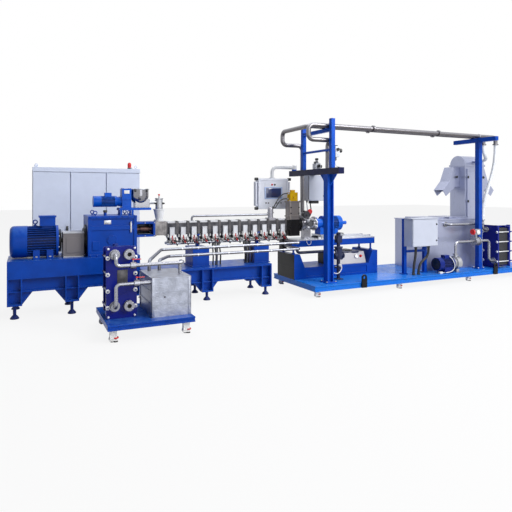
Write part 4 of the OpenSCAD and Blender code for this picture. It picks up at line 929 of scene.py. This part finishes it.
def make_heater_wires():
    """Power and sensor leads of each heater and its cooling hose, along the front."""
    for i in range(BARREL_COUNT):
        x = barrel_middle(i)
        sway = 7 * math.sin(2.4 * i)
        number = "%02d" % (i + 1)
        fixed_wire("red_wire_" + number,
                   [(x - 3, -119, HEATER_FLOOR), (x - 2 + sway * 0.3, -121, 970),
                    (x + sway, -136, 934), (x + 6 + sway, -140, 905), (x + 14, -118, 884),
                    (x + 22, -84, 874)], 12, red_wire)
        fixed_wire("red_wire_b" + number,
                   [(x + 26, -112, 944), (x + 26, -113, 928), (x + 30 - sway, -132, 908),
                    (x + 38 - sway, -150, 884), (x + 44, -120, 872), (x + 46, -80, 874)],
                   12, red_wire)
        fixed_wire("black_wire_" + number,
                   [(x - 24, -112, 944), (x - 24, -116, 926), (x - 16 + sway, -146, 912),
                    (x - 6, -166, 888), (x - 12, -140, 868), (x - 18, -82, 868)], 14, black_rubber)
        wire("black_hose_" + number,
             [(x, -131, 932), (x + 4, -152, 931), (x + 28, -190, 908), (x + 58, -190, 868),
              (x + 74, -150, 846), (x + 78, -96, 850), (x + 79, -78, 862)], 14, black_rubber)
        fixed_wire("sensor_wire_" + number,
                   [(x - 30, -121, 943), (x - 34, -123, 926), (x - 44, -140, 900),
                    (x - 50, -142, 880), (x - 54, -120, 862), (x - 56, -80, 866)], 7, white_plug)


def make_foot_cones():
    """Rubber cone and threaded sleeve over each levelling foot."""
    for name, height, row in (("base_foot_cones", 170, (90, 795, 1625)),
                              ("frame_foot_cones", 130, (1880, 2750, 3760))):
        round_set(name, [(53, 13.5), (48, 22), (30, 44), (21, 52), (21, height - 18.5),
                         (14, height - 18)], 28,
                  [(at(x, side * 295, 0), UP) for x in row for side in BOTH], foot_paint)


def make_drop_cables():
    """Two bundles that hang from the cooling line to the top plate of the barrel frame."""
    in_bundle = 5
    for bundle, x in enumerate((2985, 3530)):
        for k in range(in_bundle):
            start = x + 28 * (k - 2)
            lean = 18 * math.sin(1.7 * k + bundle)
            depth = 12 * (k % 3)
            low = start + lean * 0.9
            wire("drop_cable_%02d" % (in_bundle * bundle + k + 1),
                 [(start, -60, 849), (start, -61, 815), (start + lean * 0.5, -80 - depth, 740),
                  (start + lean, -96 - depth, 650), (start + lean, -90 - depth, 570),
                  (low, -84 - depth, 530), (low, -84 - depth, 500)],
                 24, grey_plastic if k == 2 else black_rubber)


def make_drive_details():
    bolts("motor_foot_bolts", 15,
          [(at(x, side * 198, 779), UP) for x in (352, 522) for side in BOTH])
    screws("terminal_lid_screws", 6,
           [(at(x, side * 106, 1335), UP) for x in (395, 595) for side in BOTH])
    bolts("motor_flange_bolts", 11,
          [(at(634, 196 * math.cos(a), DRIVE_HEIGHT + 196 * math.sin(a)), RIGHT)
           for a in circle(8, 22.5)])
    bolts("guard_screws", 8,
          [(at(x, side * 194, 763), UP) for x in (712, 828, 944) for side in BOTH])
    ledge = []
    for x in (1035 + k * 87.9 for k in range(8)):
        for side, axis in SIDES:
            ledge += [(at(x, side * 310, 1308), axis), (at(x, side * 312, 772), axis)]
    bolts("gearbox_bolts", 10, ledge, blue_enamel)
    bolts("gearbox_cap_bolts", 7,
          [(at(1335 + 58 * math.cos(a), side * 296, DRIVE_HEIGHT + 58 * math.sin(a)), axis)
           for a in circle(6, 30) for side, axis in SIDES], blue_enamel)
    screws("lantern_bolts", 8, [(at(x, side * 128, SCREW_HEIGHT + dz), axis)
                                for x in (1695, 1835, 1975) for dz in (-97, 97)
                                for side, axis in SIDES])
    round_set("screw_couplings", [(27, 0), (27, 58), (37, 59), (37, 179), (27, 180), (27, 238)], 28,
              [(at(1716, y, SCREW_HEIGHT), RIGHT) for y in (-40, 40)], rust_steel)
    box_piece("lantern_shield", at(1712, 100, 1025), at(1958, 106, 1185), 2, black_plastic)
    box_piece("oil_sight_glass", at(1586, -310, 1096), at(1604, -303, 1224), 2.5, white_plug)
    bolts("sight_glass_caps", 8, [(at(1595, -304, z), FRONT) for z in (1090, 1230)])
    box_piece("bare_plate", at(1222, -290, 1206), at(1318, -285.5, 1262), 1, zinc)
    screws("plate_rivets", 3, [(at(x, -290, z), FRONT) for x in (1228, 1312) for z in (1212, 1256)])
    round_piece("oil_filler_cap", [(24, 0), (24, 10), (30, 12), (30, 30), (26, 36), (12, 38)],
                at(1255, -150, 1366), UP, black_plastic, 16)


def make_feeder_details():
    low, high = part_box("feeder_hopper")
    middle = (low + high) / 2
    radius = (high.y - low.y) / 2
    rim = add(bpy.ops.mesh.primitive_torus_add, "hopper_rim", major_radius=radius + mm(3),
              minor_radius=mm(7), major_segments=64, minor_segments=12,
              location=(middle.x, middle.y, high.z - mm(3)))
    finish_piece(settle(rim), stainless_x)
    reach = Vector((mm(12), mm(12), mm(24)))
    for k, angle in enumerate((math.radians(232), math.radians(308))):
        foot = Vector((middle.x + (radius + mm(5)) * math.cos(angle),
                       middle.y + (radius + mm(5)) * math.sin(angle), high.z - mm(20)))
        box_piece("rim_clamp_%d" % (k + 1), foot - reach, foot + reach, 4, black_plastic)
    round_piece("stirrer_knob", [(7, 0), (7, 14), (15, 18), (17, 28), (12, 36), (4, 38)],
                at(FEED_X, 0, 1597), UP, red_plastic, 18)
    round_set("pot_bands", [(57, 0), (59, 1), (59, 11), (57, 12)], 40,
              [(at(FEED_X, 0, z), UP) for z in (1415, 1552)], cast_bright)
    round_set("pot_sensors", [(16, -4), (16, 12), (11, 14), (11, 30), (6, 32)], 16,
              [(at(FEED_X + 57 * math.cos(a), -57 * math.sin(a), 1490),
                Vector((math.cos(a), -math.sin(a), 0)))
               for a in (math.radians(150), math.radians(30))], black_plastic)
    bolts("reducer_bolts", 8, [(at(x, side * 70, 1714), UP) for x in (1522, 1625) for side in BOTH],
          blue_enamel)
    box_piece("reducer_plate", at(1535, -92, 1640), at(1612, -87.5, 1690), 1, white_plug)


def make_die_details():
    bolts("diverter_top_bolts", 11,
          [(at(x, side * 78, 1510), UP) for x in (4336, 4539) for side in BOTH])
    screws("diverter_body_bolts", 12,
           [(at(x, side * 85, z), axis) for x in (4358, 4517)
            for z in (960, 1060, 1180, 1300, 1400) for side, axis in SIDES], black_paint)
    screws("adapter_bolts", 11,
           [(at(4300, side * 98, z), axis) for z in (1030, SCREW_HEIGHT, 1180)
            for side, axis in SIDES], black_paint)
    ports = ((-18, 1640), (18, 1548))
    for k, end in enumerate(((4030, -30, 1376), (4042, 20, 1360))):
        y, z = ports[k]
        wire("vent_hose_%d" % (k + 1),
             [(4360, y, z), (4310, y, z + 2), (4236, y - 4, z - 12), (4160, y - 8, z - 70),
              (4100, y - 10, z - 150), (4052, end[1], 1410), end], 18, black_rubber)
    round_set("actuator_glands", [(17, -1), (17, 12), (12, 14), (12, 28), (9.5, 32)], 6,
              [(at(4360, y, z), LEFT) for y, z in ports], zinc)
    bolts("head_flange_bolts", 10,
          [(at(4594, 112 * math.cos(a), SCREW_HEIGHT + 112 * math.sin(a)), RIGHT)
           for a in circle(8, 22.5)])
    round_piece("head_window", [(64, 0), (64, 10), (58, 14), (46, 14), (44, 6), (1, 6)],
                at(4710, -151, 1125), FRONT, grey_plastic, 36)
    hub = stand(turned("handle_hub", [(20, 0), (20, 26), (14, 30)], 20), at(4660, -6, 1314), UP)
    bar = block("handle_bar", at(4650, -120, 1322), at(4670, 8, 1338), 6)
    assembled("head_handle", [hub, bar], black_plastic)
    round_piece("clamp_wheel", [(12, -100), (12, 12), (34, 14), (44, 22), (44, 36), (34, 42),
                                (14, 38), (1, 38)], at(4700, -120, 1326), FRONT, red_plastic)
    box_piece("dial_bracket", at(4608, -74, 1236), at(4662, -26, 1296), 4, barrel_steel)
    round_piece("die_dial", [(14, -4), (14, 66), (60, 69), (67, 75), (67, 92), (59, 98), (50, 94),
                             (22, 96), (18, 104), (1, 104)],
                at(4634, -72, 1268), FRONT, heater_cast, 36)
    round_set("head_fittings", [(24, -2), (24, 26), (32, 28), (32, 46), (20, 48), (20, 72),
                                (12, 76)], 6,
              [(at(x, -149, z), FRONT)
               for x, z in ((4636, 1170), (4790, 1164), (4800, 1064), (4634, 1050))], zinc)
    for k, (x, end, material) in enumerate(((4650, (4690, -30, 1240), hose_white),
                                            (4720, (4742, -40, 1214), black_rubber))):
        wire("head_cable_%d" % (k + 1),
             [(x, -130, 1515), (x, -130, 1450), (x + 10, -132, 1380), (x + 24, -120, 1310),
              (x + 30, -80, 1262), end], 20, material)


TIE_ROWS = range(4)
TIE_PITCH = 190
TIE_REACH = 157
CART_EXCHANGER_X = 1230
PORT_X = 1310
PORT_HEIGHTS = (343, 939)


def rod_sleeve_steps(length):
    return [(9.6, 0), (10.2, 1), (10.2, length - 1), (9.6, length)]


def make_cart_details():
    ties = [(CART_EXCHANGER_X + side * TIE_REACH, 330 + TIE_PITCH * k)
            for side in BOTH for k in TIE_ROWS]
    bolts("cart_tie_nuts", 20, [(at(x, -1650, z), FRONT) for x, z in ties], white_nut)
    bolts("cart_corner_bolts", 11, [(at(CART_EXCHANGER_X + side * 150, -1650, z), FRONT)
                                    for side in BOTH for z in (222, 1006)], white_nut)
    bolts("port_flange_bolts", 7,
          [(at(PORT_X + 48 * math.cos(a), -1708, z + 48 * math.sin(a)), FRONT)
           for z in PORT_HEIGHTS for a in circle(4, 45)])
    box_piece("exchanger_plate", at(1180, -1656, 606), at(1298, -1649, 759), 2, barrel_steel)
    round_set("port_liners", [(24.9, 0), (24.9, 46), (23.6, 46.5), (23.6, 1.5)], 36,
              [(at(PORT_X, -1660.5, z), FRONT) for z in PORT_HEIGHTS], black_rubber)
    round_set("cart_rod_sleeves", rod_sleeve_steps(240), 16,
              [(at(x, -1620.5, z), BACK) for x, z in ties], white_nut)
    for k, (x, z) in enumerate(((1340, 885), (1380, 676))):
        hub = stand(turned("lever_hub", [(13, -3), (13, 8), (9, 12)], 16), at(x, -1762, z), UP)
        bar = block("lever_bar", at(x - 8, -1774, z - 2), at(x + 92, -1750, z + 6), 3)
        assembled("cart_lever_%d" % (k + 1), [hub, bar], red_plastic)
    make_jacket_details()


def make_jacket_details():
    """Corner strips and rivets of the tank's jacket, and the bands round the process pipes."""
    strip, thick, proud = 34, 8.5, 8
    strips, rivets = [], []
    for x, y, in_x, in_y in ((1550, -1800, 1, 1), (2010, -1800, -1, 1),
                             (1550, -1140, 1, -1), (2010, -1140, -1, -1)):
        out_x, out_y = x - in_x * proud, y - in_y * proud
        for wide, deep in ((strip, thick), (thick, strip)):
            far_x, far_y = out_x + in_x * wide, out_y + in_y * deep
            strips.append(block("corner_strip", at(min(out_x, far_x), min(out_y, far_y), 200),
                                at(max(out_x, far_x), max(out_y, far_y), 660), 1))
        for z in range(225, 660, 55):
            rivets += [(at(out_x + in_x * 24, out_y, z), Vector((0, -in_y, 0))),
                       (at(out_x, out_y + in_y * 24, z), Vector((-in_x, 0, 0)))]
    assembled("jacket_corner_strips", strips, foil)
    screws("jacket_rivets", 3.5, rivets)
    round_piece("jacket_stud", [(9, 0), (9, 6), (5, 10), (5, 18)], at(1700, -1800, 430), FRONT,
                black_plastic, 12)
    round_set("pipe_jacket_bands", [(21.3, 0), (22.6, 1), (22.6, 15), (21.3, 16)], 28,
              [(at(x, -600, z), RIGHT) for x in range(2260, 4200, 240) for z in (845, 745)], zinc)


GRIP_FACES = 24


def is_grip_notch(face):
    """Every second face round the rim of the wheel, told by its angle."""
    turn = math.atan2(face.center.y, face.center.x) / (2 * math.pi) * GRIP_FACES
    return abs(face.normal.z) < 0.2 and math.floor(turn) % 2 == 0


def make_castor_wheels():
    skid = [(4400 + k * 5000 / 3, y) for k in range(4) for y in (-860, 350)]
    cart = [(x, y) for x in (1100, 1935) for y in (-1870, -1050)]
    wheel = turned("adjusting_wheel", [(31, 0), (34, 2), (34, 13), (31, 16)], GRIP_FACES)
    pick_faces(wheel, is_grip_notch)
    bpy.ops.mesh.inset(thickness=mm(0.8), depth=mm(-2))
    leave()
    many("castor_wheels", wheel, [(at(x + 26, y, 39), UP) for x, y in skid + cart], red_plastic)


def make_junction_details():
    """Foot bolts of the masts, and the two boxes with their conduits."""
    feet = [(4700 + dx, -730 + dy) for dx in (-84, 84) for dy in (-84, 84)]
    feet += [(8150 + dx, -740 + dy) for dx in (-70, 70) for dy in (-52, 52)]
    bolts("mast_foot_bolts", 13, [(at(x, y, 208), UP) for x, y in feet])
    round_set("junction_glands", [(19, -1), (19, 12), (15, 14), (15, 28), (11, 34)], 8,
              [(at(x, -130, 1516), DOWN) for x in (4650, 4720, 4790, 4860)], black_plastic)
    box_piece("junction_hinge", at(4616, -246, 1530), at(4625, -236, 1942), 3, black_plastic)
    box_piece("gland_block", at(4690, -200, 1466), at(4850, -112, 1517), 5, black_plastic)
    round_set("junction_latches", [(14, -1), (14, 4), (9, 6), (9, 10)], 16,
              [(at(4925, -240, z), FRONT) for z in (1600, 1880)], black_plastic)
    round_set("control_box_latches", [(16, -1), (16, 4), (10, 6), (10, 11)], 16,
              [(at(6895, -900, z), FRONT) for z in (800, 1090)], black_plastic)
    wire("box_conduit_1",
         [(6500, -800, 694), (6500, -800, 640), (6496, -798, 560), (6486, -794, 470),
          (6470, -790, 380), (6462, -788, 290), (6460, -786, 240), (6460, -786, 191)],
         45, black_rubber)
    wire("box_conduit_2",
         [(6800, -800, 694), (6800, -800, 620), (6788, -798, 550), (6740, -795, 480),
          (6668, -792, 430), (6612, -790, 370), (6584, -788, 290), (6576, -786, 240),
          (6575, -786, 191)], 45, black_rubber)
    collars = [(at(x, -800, 700), DOWN) for x in (6500, 6800)]
    collars += [(at(x, -786, 190), UP) for x in (6460, 6575)]
    round_set("conduit_collars", [(31, -1), (31, 14), (27, 18), (27, 34), (23.5, 36)], 20, collars,
              black_plastic)


def make_water_details():
    """Plug and meter of the pump, the tank's cock, the gauges and the skid's heat exchanger."""
    box_piece("pump_plug", at(6965, -912, 190), at(7040, -868, 228), 6, white_plug)
    wire("pump_wire",
         [(7240, -870, 480), (7244, -892, 476), (7268, -924, 430), (7300, -938, 350),
          (7286, -938, 268), (7220, -930, 222), (7140, -912, 206), (7080, -896, 205),
          (7040, -890, 206)], 14, hose_white)
    round_piece("meter_cover", [(54, -1), (54, 20), (50, 26), (44, 26), (42, 20), (18, 20),
                                (16, 24), (2, 24)], at(7910, -820, 910), LEFT, red_plastic, 32)
    round_piece("meter_cover_front", [(42, -1), (42, 14), (38, 18), (30, 18), (28, 12), (2, 12)],
                at(7980, -870, 910), FRONT, white_plug, 32)
    cock = turned("cock_body", [(16, -1), (16, 20), (11, 22), (11, 40)], 16)
    lever = block("cock_lever", at(7172, -594, 794), at(7262, -584, 808), 3)
    assembled("tank_cock", [stand(cock, at(7180, -550, 800), FRONT), lever], black_plastic)
    slope = Vector((0, -200, 70)).normalized()
    on_slope = -240 + 70 * 118 / 200
    round_piece("box_gauge", [(40, -1), (40, 16), (36, 20), (33, 20), (33, 15), (1, 15)],
                at(5650, on_slope, 500), slope, white_plug, 36)
    round_piece("box_switch", [(26, -1), (26, 8), (18, 10), (16, 30), (12, 34), (1, 34)],
                at(5745, on_slope, 500), slope, red_plastic, 28)
    ties = [(-740 + side * TIE_REACH, 320 + TIE_PITCH * k) for side in BOTH for k in TIE_ROWS]
    bolts("skid_tie_nuts", 20, [(at(8470, y, z), LEFT) for y, z in ties], white_nut)
    round_set("skid_rod_sleeves", rod_sleeve_steps(290), 16,
              [(at(8500, y, z), RIGHT) for y, z in ties], white_nut)
    round_piece("pump_fan_grille", [(100, -1), (100, 2), (84, 4), (80, 2.5), (60, 4), (56, 2.5),
                                    (36, 4), (32, 2.5), (1, 3.5)],
                at(6960, -820, 355), LEFT, black_plastic, 40)


def make_table_details():
    """Cover of the instrument box, the bypass valve's fittings and the clamps of the pipes."""
    low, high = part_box("instrument_box")
    box_piece("instrument_cover", Vector((low.x + mm(119), SCREW_Y - mm(121), mm(582))),
              Vector((low.x + mm(581), SCREW_Y + mm(81), high.z + mm(1.5))), 5, black_plastic)
    valve_x, valve_y = 5010, -560
    hub = turned("lever_hub", [(26, -1), (26, 12), (18, 16)], 20)
    bar = block("lever_bar", at(4998, -700, 973), at(5022, -548, 985), 4)
    assembled("valve_lever", [stand(hub, at(valve_x, valve_y, 970), UP), bar], black_plastic)
    round_piece("valve_cross_body", [(38, 0), (60, 4), (60, 22), (48, 28), (46, 162), (60, 168),
                                     (60, 186), (38, 190)],
                at(4915, valve_y, 600), RIGHT, valve_grey, 36)
    round_piece("valve_handle", [(10, 0), (22, 4), (22, 80), (15, 88), (15, 230), (22, 240),
                                 (26, 290), (26, 365), (15, 380)],
                at(5044, valve_y, 642), RIGHT, valve_grey, 24)
    round_piece("valve_fitting", [(24, -1), (24, 26), (18, 30), (18, 46), (12, 48)],
                at(valve_x, -588, 430), FRONT, white_plug)
    wire("valve_wire",
         [(valve_x, -634, 430), (5008, -652, 428), (4988, -684, 386), (4930, -704, 330),
          (4860, -712, 318), (4800, -712, 342), (4770, -712, 372), (4759, -712, 384)],
         13, white_plug)
    wire("table_wire",
         [(4590, -208, 848), (4586, -228, 838), (4584, -240, 800), (4606, -244, 766),
          (4644, -244, 764), (4668, -240, 796), (4668, -228, 836), (4666, -208, 850)],
         9, white_plug)
    clamps = [add(bpy.ops.mesh.primitive_torus_add, "clamp", major_radius=mm(43),
                  minor_radius=mm(5.5), major_segments=36, minor_segments=8,
                  location=at(x, y, 2748), rotation=(0, math.radians(90), 0))
              for x in (4700, 8150) for y in (-740, -600)]
    assembled("pipe_clamps", clamps, zinc)


def make_air_details():
    """Pressure regulator and air valve on the front mast."""
    box_piece("regulator_body", at(4737, -874, 2232), at(4822, -786, 2408), 10, unit_white)
    round_piece("regulator_knob", [(28, -1), (34, 4), (34, 52), (29, 58), (1, 58)],
                at(4822, -830, 2341), RIGHT, black_plastic, 18)
    round_piece("regulator_cap", [(26, -1), (26, 14), (20, 18), (1, 18)],
                at(4779, -830, 2408), UP, grey_plastic, 20)
    round_piece("regulator_gauge", [(27, -1), (27, 16), (24, 20), (22, 20), (22, 16), (1, 16)],
                at(4779, -874, 2354), FRONT, black_plastic)
    round_piece("filter_bowl", [(24, -1), (24, 44), (17, 56), (7, 60)],
                at(4758, -830, 2233), DOWN, grey_plastic)
    box_piece("air_valve_body", at(4646, -422, 2058), at(4752, -314, 2150), 8, unit_white)
    box_piece("air_valve_coil", at(4660, -404, 2149), at(4712, -332, 2186), 6, grey_plastic)
    round_piece("top_knob", [(24, -1), (29, 3), (29, 30), (24, 34), (1, 34)],
                at(4700, -368, 2208), UP, black_plastic, 18)
    round_piece("side_knob", [(24, -1), (28, 4), (28, 40), (23, 46), (1, 46)],
                at(4752, -368, 2104), RIGHT, black_plastic, 18)
    round_piece("air_gauge", [(26, -1), (26, 18), (23, 22), (21, 22), (21, 18), (1, 18)],
                at(4699, -422, 2104), FRONT, black_plastic)
    wire("air_hose",
         [(4758, -830, 2176), (4759, -833, 2130), (4766, -862, 2086), (4762, -910, 2072),
          (4748, -960, 2066), (4735, -1000, 2060), (4728, -1024, 2057)], 9, hose_white)


HOSE_WIDTH = mm(66)
HOSE_STUB = mm(30)
HOSE_STEPS = 32
HOSE_POINTS = {
    "return_hose": [at(8620, -740, 2598), at(8620, -740, 1898),
                    at(8360, -660, 1730), at(8360, -660, 1130)],
    "dryer_hose": [at(8450, -600, 2598), at(8450, -600, 2338),
                   at(8710, -564, 2311), at(8710, -234, 2311)],
}


def make_dryer_details():
    latches = []
    for x, out in ((8498, -1), (8942, 1)):
        for z in (980, 1480, 1980):
            left, right = sorted((x - out * 6, x + out * 34))
            latches += [
                block("dryer_latch", at(x - 12, -206, z - 26), at(x + 12, -185, z + 26), 4),
                block("latch_tongue", at(left, -200, z - 7), at(right, -190, z + 7), 3)]
    assembled("dryer_latches", latches, black_plastic)
    round_set("chute_knobs", [(10, -1), (10, 18), (24, 22), (26, 38), (18, 44)], 20,
              [(at(x, -20, 1985), FRONT) for x in (8330, 9110)], black_plastic)
    for name, (a, b, c, d) in HOSE_POINTS.items():
        first = a + (b - a).normalized() * HOSE_STUB
        last = d - (d - c).normalized() * HOSE_STUB
        route = [a]
        for k in range(HOSE_STEPS + 1):
            t = k / HOSE_STEPS
            s = 1 - t
            route.append(s ** 3 * first + 3 * s ** 2 * t * b + 3 * s * t * t * c + t ** 3 * last)
        route.append(d)
        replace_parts(hose(name, route, HOSE_WIDTH, hose_white), "hoses")


def make_panel_details():
    low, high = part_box("operator_panel")
    middle = (low.x + high.x) / 2
    face = low.y

    def on_panel(x, z, depth=0.0):
        return Vector((middle + mm(x), face - mm(depth), low.z + mm(z)))

    box_piece("screen_bezel", on_panel(-178, 180, 3), on_panel(178, 396, -12), 4, bezel_blue,
              "panel")
    box_piece("screen", on_panel(-150, 204, 6), on_panel(150, 374, -4), 2, dark_screen, "panel")
    for name, x, material in (("stop_button", -32, red_plastic),
                              ("mode_button", 24, black_plastic)):
        round_piece(name, [(17, -8), (17, 4), (13, 6), (13, 16), (9, 20), (1, 20)],
                    on_panel(x, 436), FRONT, material, 24, "panel")
    round_set("panel_switches", [(12, -2), (12, 8), (8, 10), (7, 18), (1, 18)], 18,
              [(on_panel(x, 110, -7), FRONT) for x in (-150, -100, 60, 105, 150)],
              black_plastic, "panel")
    reach, inset = mm(26), mm(14)
    corners = [block("corner", Vector((x - reach, face - mm(7), z - reach)),
                     Vector((x + reach, face + mm(60), z + reach)), 9)
               for x in (low.x + inset, high.x - inset) for z in (low.z + inset, high.z - inset)]
    assembled("panel_corners", corners, black_plastic, "panel")


def make_cabinet_details():
    for name in ("left", "middle", "right"):
        low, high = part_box("cabinet_door_" + name)
        lock = Vector((high.x - mm(45), low.y, low.z + mm(890)))
        grip = block("grip", lock + Vector((mm(-11), mm(-2), mm(-61))),
                     lock + Vector((mm(11), mm(16), mm(61))), 5)
        plate = block("handle_plate", lock + Vector((mm(-18), mm(12), mm(-86))),
                      lock + Vector((mm(18), mm(31), mm(81))), 4)
        assembled("door_handle_" + name, [grip, plate], black_plastic, "door_" + name)
    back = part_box("cabinet_body")[1].y
    back_screws = []
    for bay in range(3):
        left = 320 + 600 * bay
        box_piece("cabinet_back_%d" % (bay + 1), Vector((along(left + 26), back - mm(3), mm(150))),
                  Vector((along(left + 574), back + mm(2), mm(2040))), 1.5, cabinet_paint)
        back_screws += [(Vector((along(left + dx), back + mm(2), mm(z))), BACK)
                        for dx in (50, 550) for z in (190, 800, 1400, 2000)]
    screws("cabinet_back_screws", 5, back_screws)
    beacon = at(1950, 1720, 2090)
    ribs = [(33.5, 24), (33.5, 30), (32.5, 32), (32.5, 40), (33.5, 42), (33.5, 50), (32.5, 52),
            (32.5, 60), (33.5, 62)]
    dome = [(33.5, 88), (31, 100), (25, 111), (16, 119), (6, 123.5)]
    round_piece("beacon_lens", ribs + dome, beacon, UP, red_plastic, 32)
    round_piece("beacon_base", [(37, -1), (37, 22), (35, 25)], beacon, UP, black_plastic, 32)


set_camera()
set_floor()
set_light()
dress_cad_nodes()
make_barrel_details()
make_cooling_coils()
make_heater_wires()
make_foot_cones()
make_drop_cables()
make_drive_details()
make_feeder_details()
make_die_details()
make_cart_details()
make_castor_wheels()
make_junction_details()
make_water_details()
make_table_details()
make_air_details()
make_dryer_details()
make_panel_details()
make_cabinet_details()
